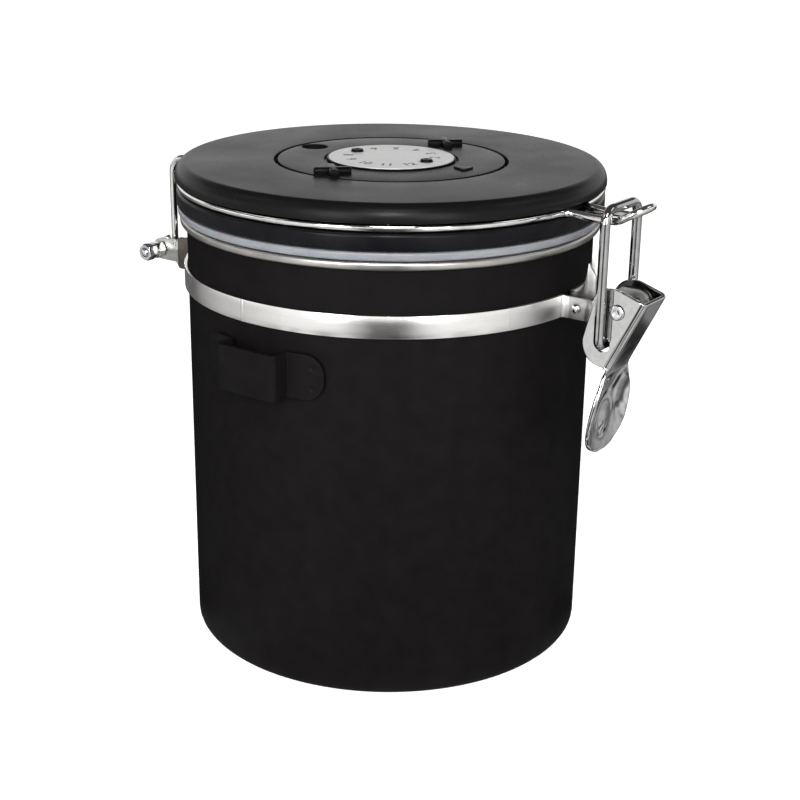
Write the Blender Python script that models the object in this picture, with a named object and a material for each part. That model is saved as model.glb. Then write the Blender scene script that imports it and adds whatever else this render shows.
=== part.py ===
"""Coffee canister: steel can, clamped wire-bound lid with a date dial, lever latch and scoop holder.

Metres, +Z up. The origin is the centre of the can's underside. The latch faces -Y, the hinge +Y,
and the scoop holder -X.
"""
import math

import bmesh
import bpy
from mathutils import Vector

# Clearances shared by all pieces
GAP = 0.00025
OVERRUN = 0.0020

# Segments round a full turn
FINE_STEPS = 64
COARSE_STEPS = 40
SMALL_STEPS = 20
ARC_STEP = math.radians(6.0)

# Can
BODY_RADIUS = 0.0570
BODY_HEIGHT = 0.1223
BODY_WALL = 0.0007
BASE_THICKNESS = 0.0010
BASE_CORNER = 0.0020
RIM_HEIGHT = 0.0024
RIM_PROUD = 0.0018
RIM_ROUND = 0.0006

# Clamp band with its two ears
BAND_DROP = 0.0141
BAND_HEIGHT = 0.0059
BAND_THICKNESS = 0.0008
EAR_OFFSET = 0.0021
EAR_BEND = 0.0013
EAR_FLAT = 0.0070
EAR_FLARE_LENGTH = 0.0040
EAR_NECK = 0.0103
EAR_NECK_LENGTH = 0.0040
EAR_EYE_RADIUS = 0.0038
FIN_HEIGHT = 0.0086
FIN_ROOT = 0.0010
FIN_PEAK = 0.0048
FIN_END = 0.0110

# Clamp rivet through both ears
CLAMP_RIVET_RADIUS = 0.0008
CLAMP_RIVET_HEAD = 0.00125
CLAMP_RIVET_HEAD_HEIGHT = 0.0007
CLAMP_RIVET_STANDOFF = 0.0046

# Latch lever, with its pivot placed from the can wall and the band's top edge
PIVOT_STANDOFF = 0.0192
PIVOT_DROP = 0.0006
PIVOT_RIVET_RADIUS = 0.0014
PIVOT_HEAD_RADIUS = 0.00205
PIVOT_HEAD_HEIGHT = 0.0004
LEVER_HALF_WIDTH = 0.0064
LEVER_SHEET = 0.0011
LEVER_SHOULDER_RADIUS = 0.0059
LEVER_SHOULDER_INSET = 0.0017
LEVER_LOBE_RADIUS = 0.0062
WEB_TOP_OUT = 0.0078
WEB_TOP_UP = 0.0030
WEB_BOTTOM_IN = 0.0021
WEB_BOTTOM_DOWN = 0.0172
TAB_LENGTH = 0.0240
TAB_HALF_WIDTH = 0.0103
TAB_LEAN = 0.0036
TAB_ROWS = 12
TAB_NECK_SHARE = 0.42

# Wire bail
BAIL_WIRE_RADIUS = 0.0013
BAIL_STANDOFF = 0.0155
BAIL_HOLE_DROP = 0.0092
BAIL_HOLE_RADIUS = 0.0022
BAIL_BEND = 0.0042
BAIL_FOOT_BEND = 0.0016
BAIL_FOOT_INSIDE = 0.0006
BAIL_TAKE_UP = 0.0011

# Lid ring wire with its front loop and its two hinge legs
RING_WIRE_RADIUS = 0.0010
LOOP_HALF_WIDTH = 0.0045
LOOP_FILLET = 0.0030
LOOP_DIP = 0.0004
LOOP_DIP_START = 0.0020
LOOP_DIP_END = 0.0080
LOOP_KINK = 0.0166
LOOP_REACH = 0.0234
LOOP_TILT = math.radians(30.0)
LEG_HALF_SPACING = 0.0140
LEG_FILLET = 0.0035
LEG_BEND = 0.0045

# Hinge bracket and its bolt
HINGE_STANDOFF = 0.0160
HINGE_DROP = 0.0052
BRACKET_SHEET = 0.0012
BRACKET_BEND = 0.0015
LEG_PLAY = 0.0015
BRACKET_WEB_ABOVE = 0.0007
BRACKET_WEB_BELOW = 0.0043
BRACKET_EYE_RADIUS = 0.0032
HINGE_BOLT_RADIUS = 0.0013
HINGE_HEAD_RADIUS = 0.0024
HINGE_HEAD_HEIGHT = 0.0018
HINGE_NUT_RADIUS = 0.0026
HINGE_NUT_HEIGHT = 0.0032
HINGE_BOLT_END = 0.0018

# Scoop holder
HOLDER_SHEET = 0.0012
HOLDER_STANDOFF = 0.0064
HOLDER_HALF_WIDTH = 0.00975
HOLDER_TAB_LENGTH = 0.0098
HOLDER_BEND = 0.0009
HOLDER_HEIGHT = 0.0123
HOLDER_DROP = 0.0255

# Lid, stacked upwards from the rim
GASKET_HEIGHT = 0.0022
GASKET_PROUD = 0.0005
GASKET_ROUND = 0.0005
FLANGE_HEIGHT = 0.0046
FLANGE_PROUD = 0.0003
FLANGE_ROUND = 0.0006
GROOVE_DEPTH = 0.00135
LID_BOARD = 0.0016
PLUG_PLAY = 0.0039
PLUG_TAPER = 0.0021
PLUG_DEPTH = 0.0060
PLUG_SHOULDER = 0.0013
PLUG_WALL = 0.0018
COVER_PROUD = 0.0003
COVER_ROUND = 0.0022
COVER_SHEET = 0.0008
COVER_HEIGHT = 0.00475

# Date dial
DIAL_RADIUS = 0.0323
DIAL_RECESS = 0.0029
DIAL_HALF_GAP = 0.0003
DATE_RING_THICKNESS = 0.0017
DATE_RING_LEDGE = 0.0008
DATE_RING_WIDTH = 0.0138
DATE_RING_LIP = 0.0055
SCALE_THICKNESS = 0.0004
SCALE_BORE = 0.0060
WINDOW_RADIUS = 0.00375
WINDOW_INSET = 0.0047
GRIP_INSET = 0.0055
GRIP_REACH = 0.0050
GRIP_ARM = 0.0030
GRIP_HEIGHT = 0.0017
POINTER_INSET = 0.0020
POINTER_LENGTH = 0.0053
POINTER_HALF_WIDTH = 0.0026
POINTER_HEIGHT = 0.0005
HUB_PROUD = 0.0004
HUB_BORDER = 0.0008
HUB_SHAFT_RADIUS = 0.0038
LABEL_THICKNESS = 0.0005
LABEL_PROUD = 0.00015
STUD_RADIUS = 0.0017
STUD_INSET = 0.00525
STUD_HEIGHT = 0.0007
CLIP_WIDTH = 0.0027
CLIP_THICKNESS = 0.0009

# Plug plate with its screws and the one-way valve
PLATE_THICKNESS = 0.0015
PLATE_INSET = 0.0003
POST_RADIUS = 0.0034
POST_INSET = 0.01025
POST_HOLE_DEPTH = 0.0060
SCREW_COUNT = 3
SCREW_RADIUS = 0.0011
SCREW_HEAD_RADIUS = 0.0026
SCREW_HEAD_HEIGHT = 0.0011
VALVE_RADIUS = 0.0100
VALVE_WALL = 0.0013
VALVE_HEIGHT = 0.0036
VALVE_FLANGE_WIDTH = 0.0025
VALVE_FLANGE_HEIGHT = 0.0012
VALVE_FLOOR = 0.0011
VALVE_PORT_COUNT = 4
VALVE_PORT_RADIUS = 0.0009
VALVE_PORT_PLACE = 0.0044
VALVE_STEM_RADIUS = 0.0009
VALVE_DISC_RADIUS = 0.0070
VALVE_DISC_THICKNESS = 0.0006
VALVE_CAP_THICKNESS = 0.0010
VALVE_SLOT_COUNT = 3
VALVE_SLOT_WIDTH = 0.0011
VALVE_SLOT_LENGTH_SHARE = 1.2

# Heights
RIM_BOTTOM_Z = BODY_HEIGHT - RIM_HEIGHT
BAND_TOP_Z = BODY_HEIGHT - BAND_DROP
BAND_BOTTOM_Z = BAND_TOP_Z - BAND_HEIGHT
GASKET_BOTTOM_Z = BODY_HEIGHT + GAP
GASKET_TOP_Z = GASKET_BOTTOM_Z + GASKET_HEIGHT
FLANGE_BOTTOM_Z = GASKET_TOP_Z + GAP
FLANGE_TOP_Z = FLANGE_BOTTOM_Z + FLANGE_HEIGHT
RING_Z = FLANGE_TOP_Z + GAP + RING_WIRE_RADIUS
COVER_BOTTOM_Z = RING_Z + RING_WIRE_RADIUS + GAP
LID_TOP_Z = COVER_BOTTOM_Z + COVER_HEIGHT
RECESS_Z = LID_TOP_Z - DIAL_RECESS
BOARD_TOP_Z = RECESS_Z - COVER_SHEET - GAP
BOARD_BOTTOM_Z = BOARD_TOP_Z - LID_BOARD
SCALE_BOTTOM_Z = RECESS_Z + GAP
SCALE_TOP_Z = SCALE_BOTTOM_Z + SCALE_THICKNESS
DATE_RING_BOTTOM_Z = LID_TOP_Z - DATE_RING_THICKNESS
LEDGE_TOP_Z = DATE_RING_BOTTOM_Z + DATE_RING_LEDGE
HUB_BOTTOM_Z = LEDGE_TOP_Z + GAP
HUB_TOP_Z = LID_TOP_Z + HUB_PROUD
LABEL_TOP_Z = HUB_TOP_Z + LABEL_PROUD
LABEL_BOTTOM_Z = LABEL_TOP_Z - LABEL_THICKNESS
CLIP_TOP_Z = BOARD_BOTTOM_Z - GAP
CLIP_BOTTOM_Z = CLIP_TOP_Z - CLIP_THICKNESS
SHAFT_BOTTOM_Z = CLIP_BOTTOM_Z - GAP
PLUG_BOTTOM_Z = BODY_HEIGHT - PLUG_DEPTH
PLATE_BOTTOM_Z = PLUG_BOTTOM_Z + PLATE_INSET
PLATE_TOP_Z = PLATE_BOTTOM_Z + PLATE_THICKNESS

# Radii worked out from the pieces they fit
BODY_INNER = BODY_RADIUS - BODY_WALL
RIM_RADIUS = BODY_RADIUS + RIM_PROUD
GASKET_RADIUS = RIM_RADIUS + GASKET_PROUD
FLANGE_RADIUS = GASKET_RADIUS + FLANGE_PROUD
COVER_RADIUS = FLANGE_RADIUS + COVER_PROUD
RING_RADIUS = FLANGE_RADIUS - RING_WIRE_RADIUS
PLUG_RADIUS = BODY_INNER - PLUG_PLAY
PLUG_END_RADIUS = PLUG_RADIUS - PLUG_TAPER
BAND_INNER = BODY_RADIUS + GAP
BAND_OUTER = BAND_INNER + BAND_THICKNESS
BAND_MIDDLE = BAND_INNER + BAND_THICKNESS / 2
WEB_INNER = BAND_OUTER + GAP
WEB_MIDDLE = WEB_INNER + BRACKET_SHEET / 2
GROOVE_RADIUS = RING_RADIUS - RING_WIRE_RADIUS - GAP
GASKET_INNER = PLUG_RADIUS + GAP
DATE_RING_OUTER = DIAL_RADIUS - DIAL_HALF_GAP
DATE_RING_INNER = DIAL_RADIUS - DATE_RING_WIDTH
DATE_RING_BORE = DATE_RING_INNER - DATE_RING_LIP
WINDOW_PLACE = DATE_RING_OUTER - WINDOW_INSET
GRIP_PLACE = DATE_RING_OUTER - GRIP_INSET
POINTER_PLACE = DATE_RING_INNER + POINTER_INSET
HUB_RADIUS = DATE_RING_INNER - DIAL_HALF_GAP
LABEL_RADIUS = HUB_RADIUS - HUB_BORDER - GAP
STUD_PLACE = LABEL_RADIUS - STUD_INSET
SHAFT_HOLE = HUB_SHAFT_RADIUS + GAP
PLATE_RADIUS = PLUG_END_RADIUS - PLUG_WALL - GAP
POST_PLACE = PLATE_RADIUS - POST_INSET
BRACKET_FLANGE_HALF_SPACING = LEG_HALF_SPACING + RING_WIRE_RADIUS + LEG_PLAY + BRACKET_SHEET / 2

# Latch and hinge places, out from the axis and up
PIVOT_OUT = BODY_RADIUS + PIVOT_STANDOFF
PIVOT_Z = BAND_TOP_Z - PIVOT_DROP
BAIL_OUT = BODY_RADIUS + BAIL_STANDOFF
BAIL_HOLE_Z = PIVOT_Z - BAIL_HOLE_DROP
LOOP_Z = RING_Z - LOOP_DIP
BAIL_TOP_Z = LOOP_Z + RING_WIRE_RADIUS + BAIL_TAKE_UP + BAIL_WIRE_RADIUS
HEAD_START = LEVER_HALF_WIDTH + GAP
HEAD_END = HEAD_START + PIVOT_HEAD_HEIGHT
BAIL_HALF_WIDTH = HEAD_END + GAP + BAIL_WIRE_RADIUS
LEVER_INNER = LEVER_HALF_WIDTH - LEVER_SHEET
EAR_EYE_OFFSET = LEVER_INNER - GAP - BAND_THICKNESS / 2
HINGE_Y = BODY_RADIUS + HINGE_STANDOFF
HINGE_Z = BAND_TOP_Z - HINGE_DROP
EYE_RADIUS = HINGE_BOLT_RADIUS + GAP + RING_WIRE_RADIUS
LEG_Y = HINGE_Y - EYE_RADIUS

TURN = 2 * math.pi


def clear_scene():
    for item in list(bpy.data.objects):
        bpy.data.objects.remove(item, do_unlink=True)


def finish(name, color, roughness, metallic):
    """A plain surface in the piece's own colour."""
    material = bpy.data.materials.new(name)
    material.use_nodes = True
    shader = material.node_tree.nodes["Principled BSDF"]
    shader.inputs["Base Color"].default_value = (*color, 1.0)
    shader.inputs["Roughness"].default_value = roughness
    shader.inputs["Metallic"].default_value = metallic
    return material


def finishes():
    return {
        "black_coat": finish("black_coat", (0.018, 0.017, 0.017), 0.55, 0.0),
        "lid_steel": finish("lid_steel", (0.125, 0.120, 0.120), 0.42, 0.6),
        "black_plastic": finish("black_plastic", (0.020, 0.020, 0.021), 0.45, 0.0),
        "silicone": finish("silicone", (0.48, 0.50, 0.52), 0.45, 0.0),
        "steel": finish("steel", (0.52, 0.51, 0.49), 0.35, 1.0),
        "chrome": finish("chrome", (0.62, 0.62, 0.62), 0.12, 1.0),
        "label": finish("label", (0.66, 0.66, 0.66), 0.4, 0.2),
        "scale": finish("scale", (0.55, 0.55, 0.55), 0.5, 0.0),
    }


def make_object(name, bm, material, smooth=True):
    bmesh.ops.recalc_face_normals(bm, faces=bm.faces)
    mesh = bpy.data.meshes.new(name)
    bm.to_mesh(mesh)
    bm.free()
    if smooth:
        mesh.shade_smooth()
        mesh.set_sharp_from_angle(angle=math.radians(35.0))
    mesh.materials.append(material)
    item = bpy.data.objects.new(name, mesh)
    bpy.context.collection.objects.link(item)
    return item


def place_origin(item, point):
    """Put an object's origin on its joint's axis and leave its surface where it is."""
    offset = Vector(point) - item.location
    for vertex in item.data.vertices:
        vertex.co -= offset
    item.location = Vector(point)


def lathe(name, profile, material, steps=FINE_STEPS, shifted=False):
    """Turn a closed profile of (radius, height) points round Z, on request half a step round."""
    bm = bmesh.new()
    start = math.pi / steps if shifted else 0.0
    ring = [bm.verts.new((radius * math.cos(start), radius * math.sin(start), height))
            for radius, height in profile]
    edges = []
    for here, after in zip(ring, ring[1:] + ring[:1]):
        if here.co.x > 0 or after.co.x > 0:
            edges.append(bm.edges.new((here, after)))
    bmesh.ops.spin(bm, geom=ring + edges, cent=(0, 0, 0), axis=(0, 0, 1), dvec=(0, 0, 0),
                   angle=TURN, steps=steps, use_merge=True, use_duplicate=False)
    bmesh.ops.remove_doubles(bm, verts=bm.verts, dist=GAP / 100)
    return make_object(name, bm, material)


def prism(name, outline, low, high, material, to_world):
    """Extrude a closed outline of (a, b) points from low to high along its third direction."""
    bm = bmesh.new()
    base = [bm.verts.new(to_world(a, b, low)) for a, b in outline]
    face = bm.faces.new(base)
    moved = bmesh.ops.extrude_face_region(bm, geom=[face])
    step = Vector(to_world(0, 0, high)) - Vector(to_world(0, 0, low))
    corners = [part for part in moved["geom"] if isinstance(part, bmesh.types.BMVert)]
    bmesh.ops.translate(bm, verts=corners, vec=step)
    return make_object(name, bm, material)


def flat(a, b, c):
    """An outline drawn in plan, seen from above."""
    return (a, b, c)


def front_side(a, b, c):
    """An outline drawn as (out from the axis toward the latch, up), extruded along X."""
    return (c, -a, b)


def circle(radius, steps=SMALL_STEPS, centre=(0, 0)):
    return [(centre[0] + radius * math.cos(TURN * i / steps),
             centre[1] + radius * math.sin(TURN * i / steps)) for i in range(steps)]


def arc(centre, radius, start, end, step=ARC_STEP):
    """Points along an arc, both ends kept; angles in radians."""
    count = max(2, math.ceil(abs(end - start) / step))
    angles = [start + (end - start) * i / count for i in range(count + 1)]
    return [(centre[0] + radius * math.cos(t), centre[1] + radius * math.sin(t)) for t in angles]


def cylinder(name, radius, low, high, material, axis="Z", centre=(0, 0), steps=SMALL_STEPS):
    """A round bar from low to high. Centre is (x, y) for a Z bar and (y, z) for an X bar."""
    if axis == "Z":
        return prism(name, circle(radius, steps, centre), low, high, material, flat)
    return prism(name, circle(radius, steps, centre), low, high, material,
                 lambda a, b, c: (c, a, b))


def hide_tool(item):
    item.hide_render = True
    item.display_type = "WIRE"


def combine(item, tool, operation):
    """Cut a tool from a piece, or join it on. The tool itself is a guide and is left out."""
    modifier = item.modifiers.new(f"{operation.lower()}_{tool.name}", "BOOLEAN")
    modifier.operation = operation
    modifier.object = tool
    hide_tool(tool)


def ribbon(name, path, thickness, low, high, material):
    """A bent sheet: its mid line in plan, with its lower and upper edge at each point."""
    bm = bmesh.new()
    sections = []
    for index, point in enumerate(path):
        before = path[max(index - 1, 0)]
        after = path[min(index + 1, len(path) - 1)]
        along = Vector((after[0] - before[0], after[1] - before[1])).normalized()
        side = Vector((along.y, -along.x)) * thickness / 2
        near = (point[0] - side.x, point[1] - side.y)
        far = (point[0] + side.x, point[1] + side.y)
        bottom = low(point)
        top = high(point)
        sections.append([bm.verts.new((*near, bottom)), bm.verts.new((*far, bottom)),
                         bm.verts.new((*far, top)), bm.verts.new((*near, top))])
    for here, after in zip(sections, sections[1:]):
        for k in range(4):
            j = (k + 1) % 4
            bm.faces.new((here[k], here[j], after[j], after[k]))
    bm.faces.new(sections[0])
    bm.faces.new(sections[-1])
    return make_object(name, bm, material)


def wire(name, points, radius, material):
    """A round wire along points, with flat closed ends."""
    curve = bpy.data.curves.new(name, "CURVE")
    curve.dimensions = "3D"
    curve.bevel_depth = radius
    curve.bevel_resolution = 2
    curve.use_fill_caps = True
    spline = curve.splines.new("POLY")
    spline.points.add(len(points) - 1)
    for target, point in zip(spline.points, points):
        target.co = (*point, 1.0)
    curve.materials.append(material)
    item = bpy.data.objects.new(name, curve)
    bpy.context.collection.objects.link(item)
    return item


def rounded_path(corners, radii, step=ARC_STEP * 3):
    """A route through corner points, each inner corner rounded to its radius."""
    corners = [Vector(corner) for corner in corners]
    route = [corners[0]]
    for before, corner, after, radius in zip(corners, corners[1:], corners[2:], radii):
        inward = (before - corner).normalized()
        outward = (after - corner).normalized()
        opening = inward.angle(outward)
        reach = radius / math.tan(opening / 2)
        centre = corner + (inward + outward).normalized() * (radius / math.sin(opening / 2))
        start = corner + inward * reach - centre
        end = corner + outward * reach - centre
        sweep = start.angle(end)
        count = max(2, math.ceil(sweep / step))
        for i in range(count + 1):
            share = i / count
            route.append(centre + (start * math.sin((1 - share) * sweep)
                                   + end * math.sin(share * sweep)) / math.sin(sweep))
    route.append(corners[-1])
    return route


def fillet_centre(radius, offset, fillet):
    """Centre of an arc outside a circle, touching it and the line at sideways offset."""
    side = offset + fillet
    return side, math.sqrt((radius + fillet) ** 2 - side ** 2)


def fillet_angle(radius, offset, fillet):
    """Angle of the arc's touching point on the circle, from the direction the line runs in."""
    side, out = fillet_centre(radius, offset, fillet)
    return math.atan2(side, out)


def fillet_arc(radius, offset, fillet, step=ARC_STEP * 2):
    """The arc from the line to the circle, as (sideways, out) points on the positive side."""
    side, out = fillet_centre(radius, offset, fillet)
    turn = math.pi / 2 + fillet_angle(radius, offset, fillet)
    return arc((side, out), fillet, math.pi, math.pi + math.pi - turn, step)


def can_shell(material):
    inner = BODY_INNER
    floor = BASE_THICKNESS
    corner = arc((BODY_RADIUS - BASE_CORNER, BASE_CORNER), BASE_CORNER, -math.pi / 2, 0, ARC_STEP * 4)
    bead = RIM_RADIUS - RIM_ROUND
    profile = [(0, 0)] + corner
    profile += [(BODY_RADIUS, RIM_BOTTOM_Z), (bead, RIM_BOTTOM_Z)]
    profile += [(RIM_RADIUS, RIM_BOTTOM_Z + RIM_ROUND), (RIM_RADIUS, BODY_HEIGHT - RIM_ROUND)]
    profile += [(bead, BODY_HEIGHT), (inner, BODY_HEIGHT), (inner, floor + BASE_CORNER)]
    profile += [(inner - BASE_CORNER, floor), (0, floor)]
    return lathe("can_shell", profile, material)


def ear_offset(out):
    """Sideways place of an ear's mid line: straight, then flared out to the lever's cheek."""
    start = BAND_MIDDLE + EAR_FLAT
    share = min(max((out - start) / EAR_FLARE_LENGTH, 0.0), 1.0)
    smooth = share * share * (3 - 2 * share)
    return EAR_OFFSET + (EAR_EYE_OFFSET - EAR_OFFSET) * smooth


def ear_rise(out):
    """How far an ear's top edge stands over the band's, on its way up to the pivot eye."""
    start = BAND_MIDDLE + EAR_NECK
    share = min(max((out - start) / EAR_NECK_LENGTH, 0.0), 1.0)
    return share * (PIVOT_Z + EAR_EYE_RADIUS - BAND_TOP_Z)


def fin_rise(out):
    """The hollow-edged fin on the far ear, from its root to its peak and down to its end."""
    root = BAND_OUTER + FIN_ROOT
    peak = BAND_OUTER + FIN_PEAK
    end = BAND_OUTER + FIN_END
    if out <= root or out >= end:
        return 0.0
    if out <= peak:
        share = (out - root) / (peak - root)
        return FIN_HEIGHT * (1 - math.sqrt(max(1 - share ** 2, 0.0)))
    return FIN_HEIGHT * (end - out) / (end - peak)


def eye_drop(out):
    """The round end of an ear: how far its edges close in past the pivot."""
    past = min(max(out - PIVOT_OUT, 0.0), EAR_EYE_RADIUS)
    return EAR_EYE_RADIUS - math.sqrt(EAR_EYE_RADIUS ** 2 - past ** 2)


def clamp_band(material):
    fillet = fillet_arc(BAND_MIDDLE, EAR_OFFSET, EAR_BEND)
    start = fillet_angle(BAND_MIDDLE, EAR_OFFSET, EAR_BEND)
    last = PIVOT_OUT + EAR_EYE_RADIUS * math.sin(math.radians(84.0))
    straight = BAND_MIDDLE + EAR_FLAT
    outs = [last - (last - PIVOT_OUT) * i / 5 for i in range(6)]
    outs += [BAND_MIDDLE + EAR_NECK + EAR_NECK_LENGTH]
    outs += [straight + EAR_FLARE_LENGTH * i / 5 for i in range(5, -1, -1)]
    outs += [BAND_OUTER + FIN_PEAK + (FIN_ROOT - FIN_PEAK) * i / 6 for i in range(6)]
    ear = [(ear_offset(out), out) for out in outs if out > fillet[0][1]]
    half = ear + fillet[1:]
    turn = math.pi - start
    count = round(2 * turn / ARC_STEP * 1.1)
    wrap = [(BAND_MIDDLE * math.sin(start + 2 * turn * i / count),
             BAND_MIDDLE * math.cos(start + 2 * turn * i / count)) for i in range(1, count)]
    plan = half + wrap + [(-side, out) for side, out in reversed(half)]
    path = [(side, -out) for side, out in plan]

    def low(point):
        out = -point[1]
        if out <= PIVOT_OUT:
            eye_bottom = PIVOT_Z - EAR_EYE_RADIUS
            start = BAND_MIDDLE + EAR_NECK
            share = min(max((out - start) / EAR_NECK_LENGTH, 0.0), 1.0)
            return BAND_BOTTOM_Z + (eye_bottom - BAND_BOTTOM_Z) * share
        return PIVOT_Z - EAR_EYE_RADIUS + eye_drop(out)

    def high(point):
        side = point[0]
        out = -point[1]
        if abs(side) > BRACKET_FLANGE_HALF_SPACING or out < BODY_RADIUS:
            return BAND_TOP_Z
        rise = ear_rise(out)
        if side > 0:
            rise = max(rise, fin_rise(out))
        return BAND_TOP_Z + rise - eye_drop(out)

    band = ribbon("clamp_band", path, BAND_THICKNESS, low, high, material)
    tools = (("pivot_hole", PIVOT_RIVET_RADIUS, PIVOT_OUT, PIVOT_Z),
             ("clamp_hole", CLAMP_RIVET_RADIUS, BAND_MIDDLE + CLAMP_RIVET_STANDOFF,
              (BAND_TOP_Z + BAND_BOTTOM_Z) / 2))
    reach = LEVER_HALF_WIDTH + OVERRUN
    for name, radius, out, height in tools:
        tool = cylinder(name, radius + GAP, -reach, reach, material, "X", (-out, height))
        combine(band, tool, "DIFFERENCE")
    return band


def clamp_rivet(material):
    out = BAND_MIDDLE + CLAMP_RIVET_STANDOFF
    height = (BAND_TOP_Z + BAND_BOTTOM_Z) / 2
    face = EAR_OFFSET + BAND_THICKNESS / 2 + GAP
    end = face + CLAMP_RIVET_HEAD_HEIGHT
    head = CLAMP_RIVET_HEAD
    profile = [(0, -end), (head * 0.6, -end), (head, -face - (end - face) / 3), (head, -face)]
    profile += [(CLAMP_RIVET_RADIUS, -face)]
    profile += [(radius, -along) for radius, along in reversed(profile)]
    return lie_along_x(lathe("clamp_rivet", profile, material, SMALL_STEPS), -out, height)


def lie_along_x(item, y, z):
    """Lay a piece that was turned about Z along X, centred on the given line."""
    for vertex in item.data.vertices:
        x0, y0, z0 = vertex.co
        vertex.co = (z0, y0, -x0)
    item.location = (0, y, z)
    return item


def pivot_rivet(material):
    head = PIVOT_HEAD_RADIUS
    profile = [(0, -HEAD_END), (head * 0.8, -HEAD_END), (head, -HEAD_START - GAP), (head, -HEAD_START)]
    profile += [(PIVOT_RIVET_RADIUS, -HEAD_START)]
    profile += [(radius, -along) for radius, along in reversed(profile)]
    return lie_along_x(lathe("latch_rivet", profile, material, SMALL_STEPS), -PIVOT_OUT, PIVOT_Z)


def lever_outline():
    """Side view of a lever cheek, as (out, up)."""
    shoulder = (PIVOT_OUT - LEVER_SHOULDER_INSET, PIVOT_Z)
    hole = (BAIL_OUT, BAIL_HOLE_Z)
    top = (PIVOT_OUT + WEB_TOP_OUT, PIVOT_Z + WEB_TOP_UP)
    bottom = (PIVOT_OUT - WEB_BOTTOM_IN, PIVOT_Z - WEB_BOTTOM_DOWN)
    outline = [bottom, top]
    outline += arc(shoulder, LEVER_SHOULDER_RADIUS, math.radians(72), math.radians(180), ARC_STEP * 3)
    outline += arc(hole, LEVER_LOBE_RADIUS, math.radians(172), math.radians(280), ARC_STEP * 3)
    return outline


def tab_row(share):
    """Half width and inward lean of the thumb tab at a share of its length from the web."""
    if share < TAB_NECK_SHARE:
        blend = share / TAB_NECK_SHARE
        smooth = blend * blend * (3 - 2 * blend)
        half = LEVER_HALF_WIDTH + (TAB_HALF_WIDTH - LEVER_HALF_WIDTH) * smooth
    else:
        past = (share - TAB_NECK_SHARE) / (1 - TAB_NECK_SHARE)
        half = TAB_HALF_WIDTH * math.sqrt(max(1 - past ** 2.4, 0.0))
    return half, TAB_LEAN * share ** 1.7


def latch_lever(material):
    outline = lever_outline()
    lever = prism("latch_lever", outline, -LEVER_HALF_WIDTH, -LEVER_INNER, material, front_side)
    cheek = prism("lever_far_cheek", outline, LEVER_INNER, LEVER_HALF_WIDTH, material, front_side)
    bottom = Vector((PIVOT_OUT - WEB_BOTTOM_IN, PIVOT_Z - WEB_BOTTOM_DOWN))
    top = Vector((PIVOT_OUT + WEB_TOP_OUT, PIVOT_Z + WEB_TOP_UP))
    slope = (top - bottom).normalized()
    inward = Vector((-slope.y, slope.x)) * LEVER_SHEET
    sunk = LEVER_HALF_WIDTH - LEVER_SHEET / 4
    rows = []
    skin = inward * 0.1
    for point, half in ((top - slope * LEVER_SHEET / 4, sunk), (bottom, sunk)):
        rows.append((point + skin, point + inward, half))
    for i in range(1, TAB_ROWS + 1):
        share = i / TAB_ROWS * 0.992
        half, lean = tab_row(share)
        point = bottom + Vector((-lean, -TAB_LENGTH * share)) + skin
        rows.append((point, point + Vector((-LEVER_SHEET * 0.9, 0)), half))
    bm = bmesh.new()
    sections = []
    for outer, inner, half in rows:
        sections.append([bm.verts.new(front_side(outer.x, outer.y, -half)),
                         bm.verts.new(front_side(outer.x, outer.y, half)),
                         bm.verts.new(front_side(inner.x, inner.y, half)),
                         bm.verts.new(front_side(inner.x, inner.y, -half))])
    for here, after in zip(sections, sections[1:]):
        for k in range(4):
            j = (k + 1) % 4
            bm.faces.new((here[k], here[j], after[j], after[k]))
    bm.faces.new(sections[0])
    bm.faces.new(sections[-1])
    blade = make_object("lever_web_and_tab", bm, material)
    combine(lever, cheek, "UNION")
    combine(lever, blade, "UNION")
    reach = LEVER_HALF_WIDTH + OVERRUN
    for name, radius, out, height in (("lever_pivot_hole", PIVOT_RIVET_RADIUS + GAP, PIVOT_OUT, PIVOT_Z),
                                      ("lever_bail_hole", BAIL_HOLE_RADIUS, BAIL_OUT, BAIL_HOLE_Z)):
        tool = cylinder(name, radius, -reach, reach, material, "X", (-out, height))
        combine(lever, tool, "DIFFERENCE")
    place_origin(lever, (0, -PIVOT_OUT, PIVOT_Z))
    return lever


def latch_bail(material):
    inside = LEVER_INNER - BAIL_FOOT_INSIDE
    foot = (inside, BAIL_HOLE_Z)
    half = [foot, (BAIL_HALF_WIDTH, BAIL_HOLE_Z), (BAIL_HALF_WIDTH, BAIL_TOP_Z), (0, BAIL_TOP_Z)]
    near = [(-x, -BAIL_OUT, z) for x, z in half]
    far = [(x, -BAIL_OUT, z) for x, z in reversed(half[:-1])]
    corners = near[:-1] + far
    radii = [BAIL_FOOT_BEND, BAIL_BEND, BAIL_BEND, BAIL_FOOT_BEND]
    bail = wire("latch_bail", rounded_path(corners, radii), BAIL_WIRE_RADIUS, material)
    for point in bail.data.splines[0].points:
        point.co.y += BAIL_OUT
        point.co.z -= BAIL_HOLE_Z
    bail.location = (0, -BAIL_OUT, BAIL_HOLE_Z)
    return bail


def loop_height(out):
    """Height of the front loop's wire: a small dip past the lid, then the turned-up tip."""
    first = RING_RADIUS + LOOP_DIP_START
    span = LOOP_DIP_END - LOOP_DIP_START
    share = min(max((out - first) / span, 0.0), 1.0)
    rise = max(out - BODY_RADIUS - LOOP_KINK, 0.0) * math.tan(LOOP_TILT)
    return RING_Z - LOOP_DIP * share * share * (3 - 2 * share) + rise


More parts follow.
